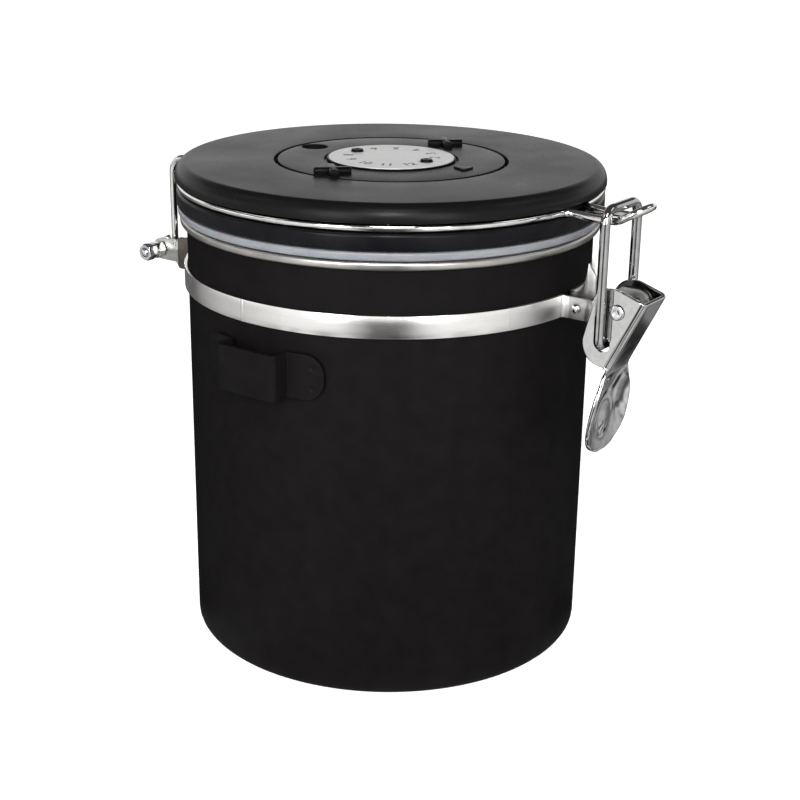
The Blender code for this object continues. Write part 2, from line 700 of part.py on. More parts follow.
def lid_ring(material):
    """Half of the wire is drawn from the loop's tip to the hinge eye, then mirrored in X."""
    tip = BODY_RADIUS + LOOP_REACH
    squash = math.cos(LOOP_TILT)
    bend = arc((0, tip - LOOP_HALF_WIDTH * squash), 1.0, math.pi / 2, 0, ARC_STEP * 2.5)
    centre = tip - LOOP_HALF_WIDTH * squash
    front = [(LOOP_HALF_WIDTH * a, centre + LOOP_HALF_WIDTH * squash * (b - centre)) for a, b in bend]
    kink = BODY_RADIUS + LOOP_KINK
    front += [(LOOP_HALF_WIDTH, kink + RING_WIRE_RADIUS), (LOOP_HALF_WIDTH, kink)]
    front += [(LOOP_HALF_WIDTH, kink - RING_WIRE_RADIUS), (LOOP_HALF_WIDTH, RING_RADIUS + LOOP_DIP_END)]
    front += fillet_arc(RING_RADIUS, LOOP_HALF_WIDTH, LOOP_FILLET, ARC_STEP * 3)
    start = fillet_angle(RING_RADIUS, LOOP_HALF_WIDTH, LOOP_FILLET)
    end = math.pi - fillet_angle(RING_RADIUS, LEG_HALF_SPACING, LEG_FILLET)
    count = math.ceil((end - start) / (ARC_STEP * 1.2))
    angles = [start + (end - start) * i / count for i in range(1, count)]
    round_part = [(RING_RADIUS * math.sin(t), RING_RADIUS * math.cos(t)) for t in angles]
    back = fillet_arc(RING_RADIUS, LEG_HALF_SPACING, LEG_FILLET, ARC_STEP * 3)
    back = [(side, -out) for side, out in reversed(back)]
    plan = front + round_part + back
    half = [Vector((side, -out, loop_height(out))) for side, out in plan]
    run = half[-1]
    corners = [run, (run.x, LEG_Y, RING_Z), (run.x, LEG_Y, HINGE_Z)]
    half += rounded_path(corners, [LEG_BEND])[1:]
    eye = arc((HINGE_Y, HINGE_Z), EYE_RADIUS, math.pi, 2.5 * math.pi, ARC_STEP * 3)
    half += [Vector((run.x, y, z)) for y, z in eye[1:]]
    other = [Vector((-point.x, point.y, point.z)) for point in half[1:]]
    return wire("lid_ring", list(reversed(half)) + other, RING_WIRE_RADIUS, material)


def hinge_bracket(material):
    fillet = fillet_arc(WEB_MIDDLE, BRACKET_FLANGE_HALF_SPACING - 2 * BRACKET_BEND, BRACKET_BEND)
    side = BRACKET_FLANGE_HALF_SPACING
    angle = math.asin((side - BRACKET_BEND) / (WEB_MIDDLE + BRACKET_BEND))
    centre = (side - BRACKET_BEND, math.cos(angle) * (WEB_MIDDLE + BRACKET_BEND))
    bend = arc(centre, BRACKET_BEND, 0, -math.pi / 2 - angle, ARC_STEP * 3)
    end = HINGE_Y + BRACKET_EYE_RADIUS * math.sin(math.radians(80.0))
    ys = [end - (end - HINGE_Y) * i / 4 for i in range(5)]
    flange = [(side, y) for y in ys + [(HINGE_Y + centre[1]) / 2]]
    count = round(2 * angle / (ARC_STEP * 0.8))
    web = [(WEB_MIDDLE * math.sin(angle - 2 * angle * i / count),
            WEB_MIDDLE * math.cos(angle - 2 * angle * i / count)) for i in range(1, count)]
    half = flange + bend
    path = half + web + [(-x, y) for x, y in reversed(half)]
    web_low = BAND_BOTTOM_Z - BRACKET_WEB_BELOW
    web_high = BAND_TOP_Z - BRACKET_WEB_ABOVE
    blend = (centre[1], HINGE_Y)

    def closing(y):
        past = min(max(y - HINGE_Y, 0.0), BRACKET_EYE_RADIUS)
        return math.sqrt(BRACKET_EYE_RADIUS ** 2 - past ** 2)

    def taper(y, web_edge, sign):
        share = min(max((y - blend[0]) / (blend[1] - blend[0]), 0.0), 1.0)
        eye_edge = HINGE_Z + sign * closing(y)
        return web_edge + (eye_edge - web_edge) * share

    bracket = ribbon("hinge_bracket", path, BRACKET_SHEET, lambda p: taper(p[1], web_low, -1),
                     lambda p: taper(p[1], web_high, 1), material)
    reach = side + BRACKET_SHEET + OVERRUN
    tool = cylinder("hinge_hole", HINGE_BOLT_RADIUS + GAP, -reach, reach, material, "X",
                    (HINGE_Y, HINGE_Z))
    combine(bracket, tool, "DIFFERENCE")
    return bracket


def hinge_bolt(material):
    face = BRACKET_FLANGE_HALF_SPACING + BRACKET_SHEET / 2 + GAP
    near = face + 2 * (HINGE_NUT_HEIGHT + GAP) + HINGE_BOLT_END
    far = face + HINGE_HEAD_HEIGHT
    radius = HINGE_BOLT_RADIUS
    profile = [(0, -near), (radius * 0.6, -near), (radius, -near + radius * 0.5), (radius, face)]
    profile += [(HINGE_HEAD_RADIUS, face), (HINGE_HEAD_RADIUS, far - HINGE_HEAD_HEIGHT / 4)]
    profile += [(HINGE_HEAD_RADIUS * 0.85, far), (0, far)]
    return lie_along_x(lathe("hinge_bolt", profile, material, SMALL_STEPS), HINGE_Y, HINGE_Z)


def hinge_nuts(material):
    """Two nuts locked against each other on the bolt's near end."""
    face = BRACKET_FLANGE_HALF_SPACING + BRACKET_SHEET / 2 + GAP
    reach = face + 2 * HINGE_NUT_HEIGHT + OVERRUN
    for index, name in enumerate(("hinge_nut", "hinge_lock_nut")):
        start = face + index * (HINGE_NUT_HEIGHT + GAP)
        hexagon = circle(HINGE_NUT_RADIUS, 6, (HINGE_Y, HINGE_Z))
        nut = prism(name, hexagon, -start - HINGE_NUT_HEIGHT, -start, material,
                    lambda a, b, c: (c, a, b))
        nut.data.shade_flat()
        tool = cylinder(f"{name}_bore", HINGE_BOLT_RADIUS + GAP, -reach, -face + OVERRUN, material, "X",
                        (HINGE_Y, HINGE_Z))
        combine(nut, tool, "DIFFERENCE")


def scoop_holder(material):
    """A bent sheet with a flat front and two tabs that follow the can, standing toward -X."""
    tab_middle = BODY_RADIUS + GAP + HOLDER_SHEET / 2
    front = BODY_RADIUS + HOLDER_STANDOFF - HOLDER_SHEET / 2
    side = HOLDER_HALF_WIDTH - HOLDER_SHEET / 2
    bend = HOLDER_BEND
    angle = fillet_angle(tab_middle, side, bend)
    reach = angle + HOLDER_TAB_LENGTH / tab_middle
    corner = arc((side - bend, front - bend), bend, math.pi / 2, 0, ARC_STEP * 4)
    half = [(0, front)] + corner + fillet_arc(tab_middle, side, bend)
    count = 6
    half += [(tab_middle * math.sin(angle + (reach - angle) * i / count),
              tab_middle * math.cos(angle + (reach - angle) * i / count)) for i in range(1, count + 1)]
    plan = [(-a, b) for a, b in reversed(half[1:])] + half
    path = [(-out, across) for across, out in plan]
    top = BODY_HEIGHT - HOLDER_DROP
    bottom = top - HOLDER_HEIGHT
    round_start = tab_middle * math.sin(reach) - HOLDER_HEIGHT / 4

    def trim(point):
        past = min(max(abs(point[1]) - round_start, 0.0) / (HOLDER_HEIGHT / 4), 1.0)
        return HOLDER_HEIGHT / 4 * (1 - math.sqrt(1 - past ** 2))

    return ribbon("scoop_holder", path, HOLDER_SHEET, lambda p: bottom + trim(p),
                  lambda p: top - trim(p), material)


def gasket(material):
    low = GASKET_BOTTOM_Z
    high = GASKET_TOP_Z
    edge = GASKET_ROUND
    profile = [(GASKET_INNER, low + edge), (GASKET_INNER + edge, low), (GASKET_RADIUS - edge, low)]
    profile += [(GASKET_RADIUS, low + edge), (GASKET_RADIUS, high - edge)]
    profile += [(GASKET_RADIUS - edge, high), (GASKET_INNER, high)]
    return lathe("gasket", profile, material)


def lid_base(material):
    edge = FLANGE_ROUND
    inner = PLUG_END_RADIUS - PLUG_WALL
    shoulder = BODY_HEIGHT - PLUG_SHOULDER
    profile = [(SHAFT_HOLE, BOARD_BOTTOM_Z), (inner, BOARD_BOTTOM_Z), (inner, PLUG_BOTTOM_Z)]
    profile += [(PLUG_END_RADIUS, PLUG_BOTTOM_Z), (PLUG_RADIUS, shoulder), (PLUG_RADIUS, FLANGE_BOTTOM_Z)]
    profile += [(FLANGE_RADIUS - edge, FLANGE_BOTTOM_Z), (FLANGE_RADIUS, FLANGE_BOTTOM_Z + edge)]
    profile += [(FLANGE_RADIUS, FLANGE_TOP_Z - edge), (FLANGE_RADIUS - edge, FLANGE_TOP_Z)]
    profile += [(GROOVE_RADIUS, FLANGE_TOP_Z), (GROOVE_RADIUS, BOARD_TOP_Z), (SHAFT_HOLE, BOARD_TOP_Z)]
    base = lathe("lid_base", profile, material, FINE_STEPS, True)
    for index in range(SCREW_COUNT):
        centre = screw_place(index)
        low = PLATE_TOP_Z + GAP
        post = cylinder(f"screw_post_{index}", POST_RADIUS, low, BOARD_BOTTOM_Z + LID_BOARD / 2,
                        material, "Z", centre, 16)
        combine(base, post, "UNION")
        hole = cylinder(f"screw_hole_{index}", SCREW_RADIUS + GAP, low - OVERRUN,
                        low + POST_HOLE_DEPTH, material, "Z", centre, 12)
        combine(base, hole, "DIFFERENCE")
    return base


def screw_place(index):
    turn = TURN * index / SCREW_COUNT + math.pi / 2
    return POST_PLACE * math.cos(turn), POST_PLACE * math.sin(turn)


def lid_cover(material):
    out = COVER_RADIUS
    sheet = COVER_SHEET
    outer = arc((out - COVER_ROUND, LID_TOP_Z - COVER_ROUND), COVER_ROUND, 0, math.pi / 2, ARC_STEP * 4)
    inner_round = COVER_ROUND - sheet
    inner = arc((out - COVER_ROUND, LID_TOP_Z - COVER_ROUND), inner_round, math.pi / 2, 0, ARC_STEP * 6)
    profile = [(out, COVER_BOTTOM_Z)] + outer + [(DIAL_RADIUS, LID_TOP_Z), (DIAL_RADIUS, RECESS_Z)]
    profile += [(SHAFT_HOLE, RECESS_Z), (SHAFT_HOLE, RECESS_Z - sheet), (DIAL_RADIUS + sheet, RECESS_Z - sheet)]
    profile += [(DIAL_RADIUS + sheet, LID_TOP_Z - sheet)] + inner + [(out - sheet, COVER_BOTTOM_Z)]
    return lathe("lid_cover", profile, material)


def date_scale(material):
    """The fixed disc with the day numbers, seen through the date ring's window."""
    profile = [(SCALE_BORE, SCALE_BOTTOM_Z), (DATE_RING_OUTER, SCALE_BOTTOM_Z)]
    profile += [(DATE_RING_OUTER, SCALE_TOP_Z), (SCALE_BORE, SCALE_TOP_Z)]
    return lathe("date_scale", profile, material, COARSE_STEPS)


def cross_outline(centre, turn):
    """A plus-shaped grip seen from above, its arms turned by an angle."""
    arm = GRIP_ARM / 2
    reach = GRIP_REACH
    corner = [(reach, -arm), (reach, arm), (arm, arm)]
    points = []
    for quarter in range(4):
        angle = turn + quarter * math.pi / 2
        for a, b in corner:
            points.append((centre[0] + a * math.cos(angle) - b * math.sin(angle),
                           centre[1] + a * math.sin(angle) + b * math.cos(angle)))
    return points


def date_ring(material):
    profile = [(DATE_RING_BORE, DATE_RING_BOTTOM_Z), (DATE_RING_OUTER, DATE_RING_BOTTOM_Z)]
    profile += [(DATE_RING_OUTER, LID_TOP_Z), (DATE_RING_INNER, LID_TOP_Z)]
    profile += [(DATE_RING_INNER, LEDGE_TOP_Z), (DATE_RING_BORE, LEDGE_TOP_Z)]
    ring = lathe("date_ring", profile, material, FINE_STEPS, True)
    sunk = LID_TOP_Z - DATE_RING_THICKNESS / 2
    for index, side in enumerate((-1, 1)):
        outline = cross_outline((side * GRIP_PLACE, 0), math.pi / 4)
        grip = prism(f"grip_{index}", outline, sunk, LID_TOP_Z + GRIP_HEIGHT, material, flat)
        combine(ring, grip, "UNION")
    base = -POINTER_PLACE - POINTER_LENGTH
    outline = [(0, -POINTER_PLACE), (-POINTER_HALF_WIDTH, base), (POINTER_HALF_WIDTH, base)]
    pointer = prism("pointer", outline, sunk, LID_TOP_Z + POINTER_HEIGHT, material, flat)
    combine(ring, pointer, "UNION")
    window = cylinder("window", WINDOW_RADIUS, DATE_RING_BOTTOM_Z - OVERRUN, LID_TOP_Z + OVERRUN,
                      material, "Z", (0, WINDOW_PLACE))
    combine(ring, window, "DIFFERENCE")
    return ring


def stud_places():
    return (0, STUD_PLACE), (0, -STUD_PLACE)


def month_hub(material):
    pocket = LABEL_BOTTOM_Z - GAP
    profile = [(0, SHAFT_BOTTOM_Z), (HUB_SHAFT_RADIUS, SHAFT_BOTTOM_Z), (HUB_SHAFT_RADIUS, HUB_BOTTOM_Z)]
    profile += [(HUB_RADIUS, HUB_BOTTOM_Z), (HUB_RADIUS, HUB_TOP_Z - GAP), (HUB_RADIUS - GAP, HUB_TOP_Z)]
    profile += [(HUB_RADIUS - HUB_BORDER, HUB_TOP_Z), (HUB_RADIUS - HUB_BORDER, pocket), (0, pocket)]
    hub = lathe("month_hub", profile, material, COARSE_STEPS, True)
    for index, centre in enumerate(stud_places()):
        stud = cylinder(f"stud_{index}", STUD_RADIUS, pocket - LABEL_THICKNESS / 2, LABEL_TOP_Z + STUD_HEIGHT,
                        material, "Z", centre, 16)
        combine(hub, stud, "UNION")
    return hub


def month_label(material):
    profile = [(0, LABEL_BOTTOM_Z), (LABEL_RADIUS, LABEL_BOTTOM_Z), (LABEL_RADIUS, LABEL_TOP_Z), (0, LABEL_TOP_Z)]
    label = lathe("month_label", profile, material, COARSE_STEPS, True)
    for index, centre in enumerate(stud_places()):
        hole = cylinder(f"label_hole_{index}", STUD_RADIUS + GAP, LABEL_BOTTOM_Z - OVERRUN,
                        LABEL_TOP_Z + OVERRUN, material, "Z", centre, 16)
        combine(label, hole, "DIFFERENCE")
    return label


def hub_clip(material):
    outer = SHAFT_HOLE + CLIP_WIDTH
    profile = [(SHAFT_HOLE, CLIP_BOTTOM_Z), (outer, CLIP_BOTTOM_Z), (outer, CLIP_TOP_Z), (SHAFT_HOLE, CLIP_TOP_Z)]
    return lathe("hub_clip", profile, material, SMALL_STEPS)


def plug_plate(material):
    bore = VALVE_RADIUS + GAP
    profile = [(bore, PLATE_BOTTOM_Z), (PLATE_RADIUS, PLATE_BOTTOM_Z)]
    profile += [(PLATE_RADIUS, PLATE_TOP_Z), (bore, PLATE_TOP_Z)]
    plate = lathe("plug_plate", profile, material, COARSE_STEPS, True)
    for index in range(SCREW_COUNT):
        hole = cylinder(f"plate_hole_{index}", SCREW_RADIUS + GAP, PLATE_BOTTOM_Z - OVERRUN,
                        PLATE_TOP_Z + OVERRUN, material, "Z", screw_place(index), 12)
        combine(plate, hole, "DIFFERENCE")
    return plate


def plate_screws(material):
    head_top = PLATE_BOTTOM_Z - GAP
    head_bottom = head_top - SCREW_HEAD_HEIGHT
    tip = PLATE_TOP_Z + GAP + POST_HOLE_DEPTH - GAP * 2
    head = SCREW_HEAD_RADIUS
    profile = [(0, head_bottom), (head * 0.7, head_bottom), (head, head_top - SCREW_HEAD_HEIGHT / 3)]
    profile += [(head, head_top), (SCREW_RADIUS, head_top), (SCREW_RADIUS, tip), (0, tip)]
    for index in range(SCREW_COUNT):
        screw = lathe(f"plate_screw_{index + 1}", profile, material, 16)
        screw.location = (*screw_place(index), 0)


def valve_levels():
    flange_top = PLATE_BOTTOM_Z - GAP
    flange_bottom = flange_top - VALVE_FLANGE_HEIGHT
    top = flange_bottom + VALVE_FLANGE_HEIGHT + VALVE_HEIGHT
    floor_bottom = flange_bottom + VALVE_CAP_THICKNESS + 3 * GAP
    return flange_bottom, flange_top, floor_bottom, floor_bottom + VALVE_FLOOR, top


def valve_seat(material):
    flange_bottom, flange_top, floor_bottom, floor_top, top = valve_levels()
    inner = VALVE_RADIUS - VALVE_WALL
    outer = VALVE_RADIUS + VALVE_FLANGE_WIDTH
    bore = VALVE_STEM_RADIUS + GAP
    profile = [(bore, floor_bottom), (inner, floor_bottom), (inner, flange_bottom), (outer, flange_bottom)]
    profile += [(outer, flange_top), (VALVE_RADIUS, flange_top), (VALVE_RADIUS, top), (inner, top)]
    profile += [(inner, floor_top), (bore, floor_top)]
    seat = lathe("valve_seat", profile, material, 28, True)
    for index in range(VALVE_PORT_COUNT):
        turn = TURN * index / VALVE_PORT_COUNT
        centre = (VALVE_PORT_PLACE * math.cos(turn), VALVE_PORT_PLACE * math.sin(turn))
        port = cylinder(f"valve_port_{index}", VALVE_PORT_RADIUS, floor_bottom - OVERRUN / 4,
                        floor_top + OVERRUN / 4, material, "Z", centre, 12)
        combine(seat, port, "DIFFERENCE")
    return seat


def valve_disc(material):
    _, _, floor_bottom, floor_top, _ = valve_levels()
    low = floor_top + GAP
    high = low + VALVE_DISC_THICKNESS
    stem = VALVE_STEM_RADIUS
    profile = [(0, floor_bottom), (stem, floor_bottom), (stem, low), (VALVE_DISC_RADIUS, low)]
    profile += [(VALVE_DISC_RADIUS, low + VALVE_DISC_THICKNESS / 3), (stem * 2, high), (0, high)]
    return lathe("valve_disc", profile, material, 32)


def valve_cap(material):
    flange_bottom, _, _, _, _ = valve_levels()
    radius = VALVE_RADIUS - VALVE_WALL - GAP
    high = flange_bottom + VALVE_CAP_THICKNESS
    profile = [(0, flange_bottom), (radius, flange_bottom), (radius, high), (0, high)]
    cap = lathe("valve_cap", profile, material, 32)
    pitch = 2 * radius / (VALVE_SLOT_COUNT + 1)
    for index in range(VALVE_SLOT_COUNT):
        y = -radius + pitch * (index + 1)
        reach = math.sqrt(radius ** 2 - y ** 2) * VALVE_SLOT_LENGTH_SHARE / 2
        width = VALVE_SLOT_WIDTH / 2
        outline = [(-reach, y - width), (reach, y - width), (reach, y + width), (-reach, y + width)]
        slot = prism(f"valve_slot_{index}", outline, flange_bottom - OVERRUN / 4, high + OVERRUN / 4,
                     material, flat)
        combine(cap, slot, "DIFFERENCE")
    return cap


def build():
    clear_scene()
    looks = finishes()
    can_shell(looks["black_coat"])
    clamp_band(looks["steel"])
    clamp_rivet(looks["steel"])
    pivot_rivet(looks["chrome"])
    hinge_bracket(looks["steel"])
    hinge_bolt(looks["chrome"])
    hinge_nuts(looks["chrome"])
    scoop_holder(looks["black_coat"])
    gasket(looks["silicone"])
    lid_base(looks["black_plastic"])
    lid_cover(looks["lid_steel"])
    lid_ring(looks["chrome"])
    date_scale(looks["scale"])
    date_ring(looks["lid_steel"])
    month_hub(looks["black_plastic"])
    month_label(looks["label"])
    hub_clip(looks["steel"])
    plug_plate(looks["black_plastic"])
    plate_screws(looks["steel"])
    valve_seat(looks["black_plastic"])
    valve_disc(looks["silicone"])
    valve_cap(looks["black_plastic"])
    latch_lever(looks["chrome"])
    latch_bail(looks["chrome"])


build()
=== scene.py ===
from math import asin, atan2, ceil, cos, exp, hypot, pi, radians, sin, sqrt, tan

import bmesh
import bpy
from mathutils import Matrix, Vector


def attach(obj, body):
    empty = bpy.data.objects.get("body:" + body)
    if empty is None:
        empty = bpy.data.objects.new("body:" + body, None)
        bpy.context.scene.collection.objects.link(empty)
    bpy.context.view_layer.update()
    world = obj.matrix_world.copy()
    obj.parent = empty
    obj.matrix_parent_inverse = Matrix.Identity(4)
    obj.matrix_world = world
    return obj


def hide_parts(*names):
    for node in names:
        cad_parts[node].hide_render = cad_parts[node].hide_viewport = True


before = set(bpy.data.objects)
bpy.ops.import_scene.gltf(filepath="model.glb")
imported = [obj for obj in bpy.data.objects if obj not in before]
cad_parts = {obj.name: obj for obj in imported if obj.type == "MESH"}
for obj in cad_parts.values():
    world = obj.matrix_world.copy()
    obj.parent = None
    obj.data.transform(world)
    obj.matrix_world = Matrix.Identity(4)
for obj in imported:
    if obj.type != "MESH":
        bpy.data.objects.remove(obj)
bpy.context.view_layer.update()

# Lengths of the object are in mm, and MM turns them into metres. A place at the latch or at the
# hinge is (out, up), out being the distance from the can's axis.
MM = 0.001
TURN = 2 * pi
QUARTER = TURN / 4
LATCH_TILT = radians(30)
CLAMP_RIVET = (62.25, 105.25)
LEVER_PIVOT = (76.2, 107.6)
BAIL_HOLE = (72.5, 98.4)
HINGE = (73.0, 103.0)
WIRE_UP = 130.85
LID_TOP = 136.85
LID_HOLE = 4.05
SCREW_OUT = 38.0
WINDOW_OUT = 27.3
STUD_PLACES = (-11.9, 11.9)


# ---------------------------------------------------------------- finishes

class Nodes:
    """A node tree under construction."""

    def __init__(self, tree):
        self.tree = tree

    def fill(self, item, inputs):
        for key, value in inputs.items():
            if isinstance(value, bpy.types.NodeSocket):
                self.tree.links.new(value, item.inputs[key])
            else:
                item.inputs[key].default_value = value

    def node(self, kind, inputs=None, **settings):
        """A new node's outputs."""
        item = self.tree.nodes.new("ShaderNode" + kind)
        for key, value in settings.items():
            setattr(item, key, value)
        self.fill(item, inputs or {})
        return item.outputs

    def math(self, operation, a, b=0.0):
        return self.node("Math", {0: a, 1: b}, operation=operation)[0]

    def add(self, a, b):
        return self.math("ADD", a, b)

    def times(self, a, b):
        return self.math("MULTIPLY", a, b)


class Shade(Nodes):
    """A procedural material under construction, in the piece's own coordinates."""

    def __init__(self, name):
        self.material = bpy.data.materials.new(name)
        self.material.use_nodes = True
        super().__init__(self.material.node_tree)
        self.place = self.node("TexCoord")["Object"]

    def show(self, shader):
        self.fill(self.tree.nodes["Material Output"], {"Surface": shader})

    def noise(self, scale, detail=2.0, rough=0.5, place=None):
        return self.node("TexNoise", {"Vector": place or self.place, "Scale": scale,
                                      "Detail": detail, "Roughness": rough})["Fac"]

    def span(self, value, low=0.0, high=1.0, start=0.3, end=0.7):
        return self.node("MapRange", {"Value": value, "From Min": start, "From Max": end,
                                      "To Min": low, "To Max": high})["Result"]

    def shares(self, a, b, share):
        return self.span(self.add(self.times(a, share), self.times(b, 1 - share)))

    def round_place(self, about, along):
        """The turn round Z, the height and the radius, each times a factor."""
        x, y, z = self.node("SeparateXYZ", {0: self.place})
        radius = self.math("SQRT", self.add(self.times(x, x), self.times(y, y)))
        return self.node("CombineXYZ", {0: self.times(self.math("ARCTAN2", y, x), about),
                                        1: self.times(z, along),
                                        2: self.times(radius, along)})["Vector"]

    def bump(self, height, strength, distance, under=None):
        inputs = {"Normal": under} if under else {}
        return self.node("Bump", {"Height": height, "Strength": strength, "Distance": distance,
                                  **inputs})["Normal"]


# Each kind of finish returns the tone between its two colours and the shader's other inputs.

def powder_coat(s, low, high):
    """Matt coat with a fine grain, under a thin gloss."""
    fine = s.noise(1500.0, 3.0, 0.6)
    return s.span(s.noise(190.0, 4.0, 0.6)), {
        "Roughness": s.add(s.span(s.noise(36.0), low, high), s.span(fine, -0.03, 0.03)),
        "Specular IOR Level": 0.0, "Coat Weight": 0.11, "Coat Roughness": (low + high) / 2,
        "Normal": s.bump(fine, 0.35, 0.000018, s.bump(s.noise(420.0), 0.25, 0.000036))}


def lid_coat(s, low, high):
    """Satin coat with a fine grain and the faint turned rings of the pressing."""
    rings = s.noise(1.0, 3.0, 0.6, s.round_place(1.6, 900.0))
    fine = s.noise(2300.0, 3.0, 0.65)
    return s.shares(rings, fine, 0.45), {
        "Roughness": s.add(s.span(s.noise(48.0, 3.0), low, high), s.span(fine, -0.05, 0.05)),
        "Specular IOR Level": 0.095,
        "Normal": s.bump(fine, 0.5, 0.000030, s.bump(rings, 0.12, 0.00002))}


def moulded(s, low, high, specular=0.45):
    return s.span(s.noise(260.0, 3.0)), {
        "Roughness": s.span(s.noise(90.0, 3.0), low, high), "Specular IOR Level": specular,
        "Normal": s.bump(s.noise(2600.0), 0.3, 0.00001)}


def rolled_steel(s, low, high, about=2.2, along=5200.0):
    """Steel strip with fine lines that run round the can."""
    lines = s.noise(1.0, 4.0, 0.65, s.round_place(about, along))
    smear = s.noise(1.0, place=s.round_place(9.0, 220.0))
    return s.shares(lines, smear, 0.6), {
        "Metallic": 1.0, "Normal": s.bump(lines, 0.35, 0.000004),
        "Roughness": s.add(s.span(smear, low, high), s.span(lines, -0.03, 0.03))}


def plated(s, low, high, wave=260.0, depth=0.00002, pits=0.0):
    """Bright plating on a pressing or a wire, with soft waves and small handling marks."""
    smear = s.noise(320.0, 4.0, 0.6)
    fine = s.noise(2800.0)
    waves = s.bump(s.noise(wave, 1.0, 0.4), 0.3, depth)
    return s.span(smear), {
        "Metallic": 1.0, "Normal": s.bump(fine, 0.15 + pits, 0.000004, waves),
        "Roughness": s.add(s.span(smear, low, high), s.span(fine, -0.015, 0.02))}


def soft_silicone(s):
    return s.span(s.noise(150.0, 3.0)), {
        "Roughness": s.span(s.noise(700.0), 0.30, 0.42), "Specular IOR Level": 0.5,
        "Subsurface Weight": 0.35, "Subsurface Scale": 0.0025,
        "Normal": s.bump(s.noise(1600.0), 0.2, 0.00001)}


def foil(s):
    """Brushed label foil."""
    stretched = s.node("VectorMath", {0: s.place, 1: (300.0, 5200.0, 300.0)},
                       operation="MULTIPLY")["Vector"]
    grain = s.noise(1.0, 3.0, 0.6, stretched)
    return s.span(grain), {"Metallic": 0.3, "Roughness": s.span(s.noise(900.0), 0.34, 0.44),
                           "Normal": s.bump(grain, 0.12, 0.000004)}


def printing(s):
    return s.span(s.noise(3500.0)), {
        "Roughness": s.span(s.noise(800.0), 0.5, 0.62), "Specular IOR Level": 0.3}


# Name: kind, darker colour, lighter colour, lowest and highest roughness, the kind's own numbers.
LID_BLACK = (lid_coat, (0.0030, 0.0029, 0.0031), (0.0058, 0.0056, 0.0058), 0.29, 0.37)
FINISHES = {
    "can_coat": (powder_coat, (0.0038, 0.0033, 0.0034), (0.0058, 0.0050, 0.0051), 0.50, 0.58),
    "holder_coat": (powder_coat, (0.0042, 0.0037, 0.0040), (0.0062, 0.0055, 0.0059), 0.38, 0.46),
    "lid_coat": LID_BLACK,
    "dial_coat": LID_BLACK,
    "flange_plastic": (moulded, (0.0026, 0.0025, 0.0032), (0.0046, 0.0044, 0.0055), 0.26, 0.34,
                       0.10),
    "inner_plastic": (moulded, (0.012, 0.012, 0.013), (0.018, 0.018, 0.019), 0.40, 0.52),
    # Black plastic for the grips and studs; on the hub's side wall it is painted shade.
    "hub_black_and_shade": (moulded, (0.0026, 0.0026, 0.0027), (0.0045, 0.0045, 0.0047), 0.24, 0.34, 0.05),
    "hub_cream": (moulded, (0.075, 0.066, 0.055), (0.11, 0.096, 0.080), 0.40, 0.50, 0.2),
    "band_steel": (rolled_steel, (0.79, 0.78, 0.76), (0.88, 0.87, 0.85), 0.19, 0.25),
    "rim_steel": (rolled_steel, (0.34, 0.328, 0.308), (0.50, 0.485, 0.46), 0.27, 0.35, 3.0, 2600.0),
    "liner_steel": (rolled_steel, (0.52, 0.50, 0.48), (0.60, 0.58, 0.555), 0.30, 0.34, 40.0,
                    1400.0),
    "dull_steel": (plated, (0.085, 0.074, 0.063), (0.14, 0.124, 0.107), 0.36, 0.48, 180.0, 0.00003,
                   0.2),
    "flange_steel": (plated, (0.46, 0.455, 0.43), (0.58, 0.575, 0.55), 0.24, 0.34, 180.0, 0.00003,
                     0.1),
    # Painted shade: the band near the latch and its ears, the band's steel made darker to stand for
    # shade and dimmer reflections there.
    "ear_shaded_steel": (plated, (0.38, 0.375, 0.37), (0.47, 0.465, 0.455), 0.34, 0.42, 300.0),
    "band_end_shaded_steel": (rolled_steel, (0.69, 0.685, 0.67), (0.79, 0.78, 0.765), 0.34, 0.42),
    "wire_plate": (plated, (0.66, 0.65, 0.63), (0.80, 0.79, 0.77), 0.05, 0.10, 420.0, 0.00004),
    "bail_plate": (plated, (0.38, 0.38, 0.378), (0.50, 0.50, 0.497), 0.04, 0.08, 240.0, 0.00004),
    "lever_plate": (plated, (0.52, 0.52, 0.515), (0.64, 0.64, 0.635), 0.04, 0.09, 130.0, 0.0003),
    "tab_plate": (plated, (0.44, 0.44, 0.437), (0.66, 0.66, 0.655), 0.03, 0.07, 150.0, 0.0006),
    # Painted shade: the lever's inside, its plating made darker to stand for the shade and dark
    # reflections in its channel.
    "lever_inside_shade": (plated, (0.03, 0.03, 0.03), (0.06, 0.06, 0.06), 0.06, 0.12, 150.0, 0.0002),
    "rivet_plate": (plated, (0.66, 0.66, 0.66), (0.80, 0.80, 0.80), 0.10, 0.18, 500.0, 0.00003),
    "bolt_plate": (plated, (0.66, 0.67, 0.69), (0.80, 0.81, 0.83), 0.08, 0.16, 600.0, 0.00003),
    "screw_plate": (plated, (0.50, 0.50, 0.50), (0.64, 0.64, 0.64), 0.18, 0.30),
    "silicone": (soft_silicone, (0.168, 0.179, 0.199), (0.200, 0.211, 0.231)),
    "label_foil": (foil, (0.51, 0.51, 0.51), (0.61, 0.61, 0.60)),
    "scale_paper": (printing, (0.40, 0.40, 0.39), (0.48, 0.48, 0.47)),
    "ink_grey": (printing, (0.085, 0.085, 0.085), (0.13, 0.13, 0.13)),
    "ink_black": (printing, (0.015, 0.015, 0.015), (0.03, 0.03, 0.03)),
}


def make_finish(name, kind, dark, light, *settings):
    s = Shade(name)
    tone, inputs = kind(s, *settings)
    color = s.node("Mix", {"Factor": tone, "A": (*dark, 1), "B": (*light, 1)}, data_type="RGBA")
    s.fill(s.tree.nodes["Principled BSDF"], {"Base Color": color["Result"], **inputs})
    return s.material


FINISH = {name: make_finish(name, *values) for name, values in FINISHES.items()}


# ---------------------------------------------------------------- mesh helpers

def spread(start, end, count):
    """Even steps from start to end, with both ends."""
    return [start + (end - start) * i / count for i in range(count + 1)]


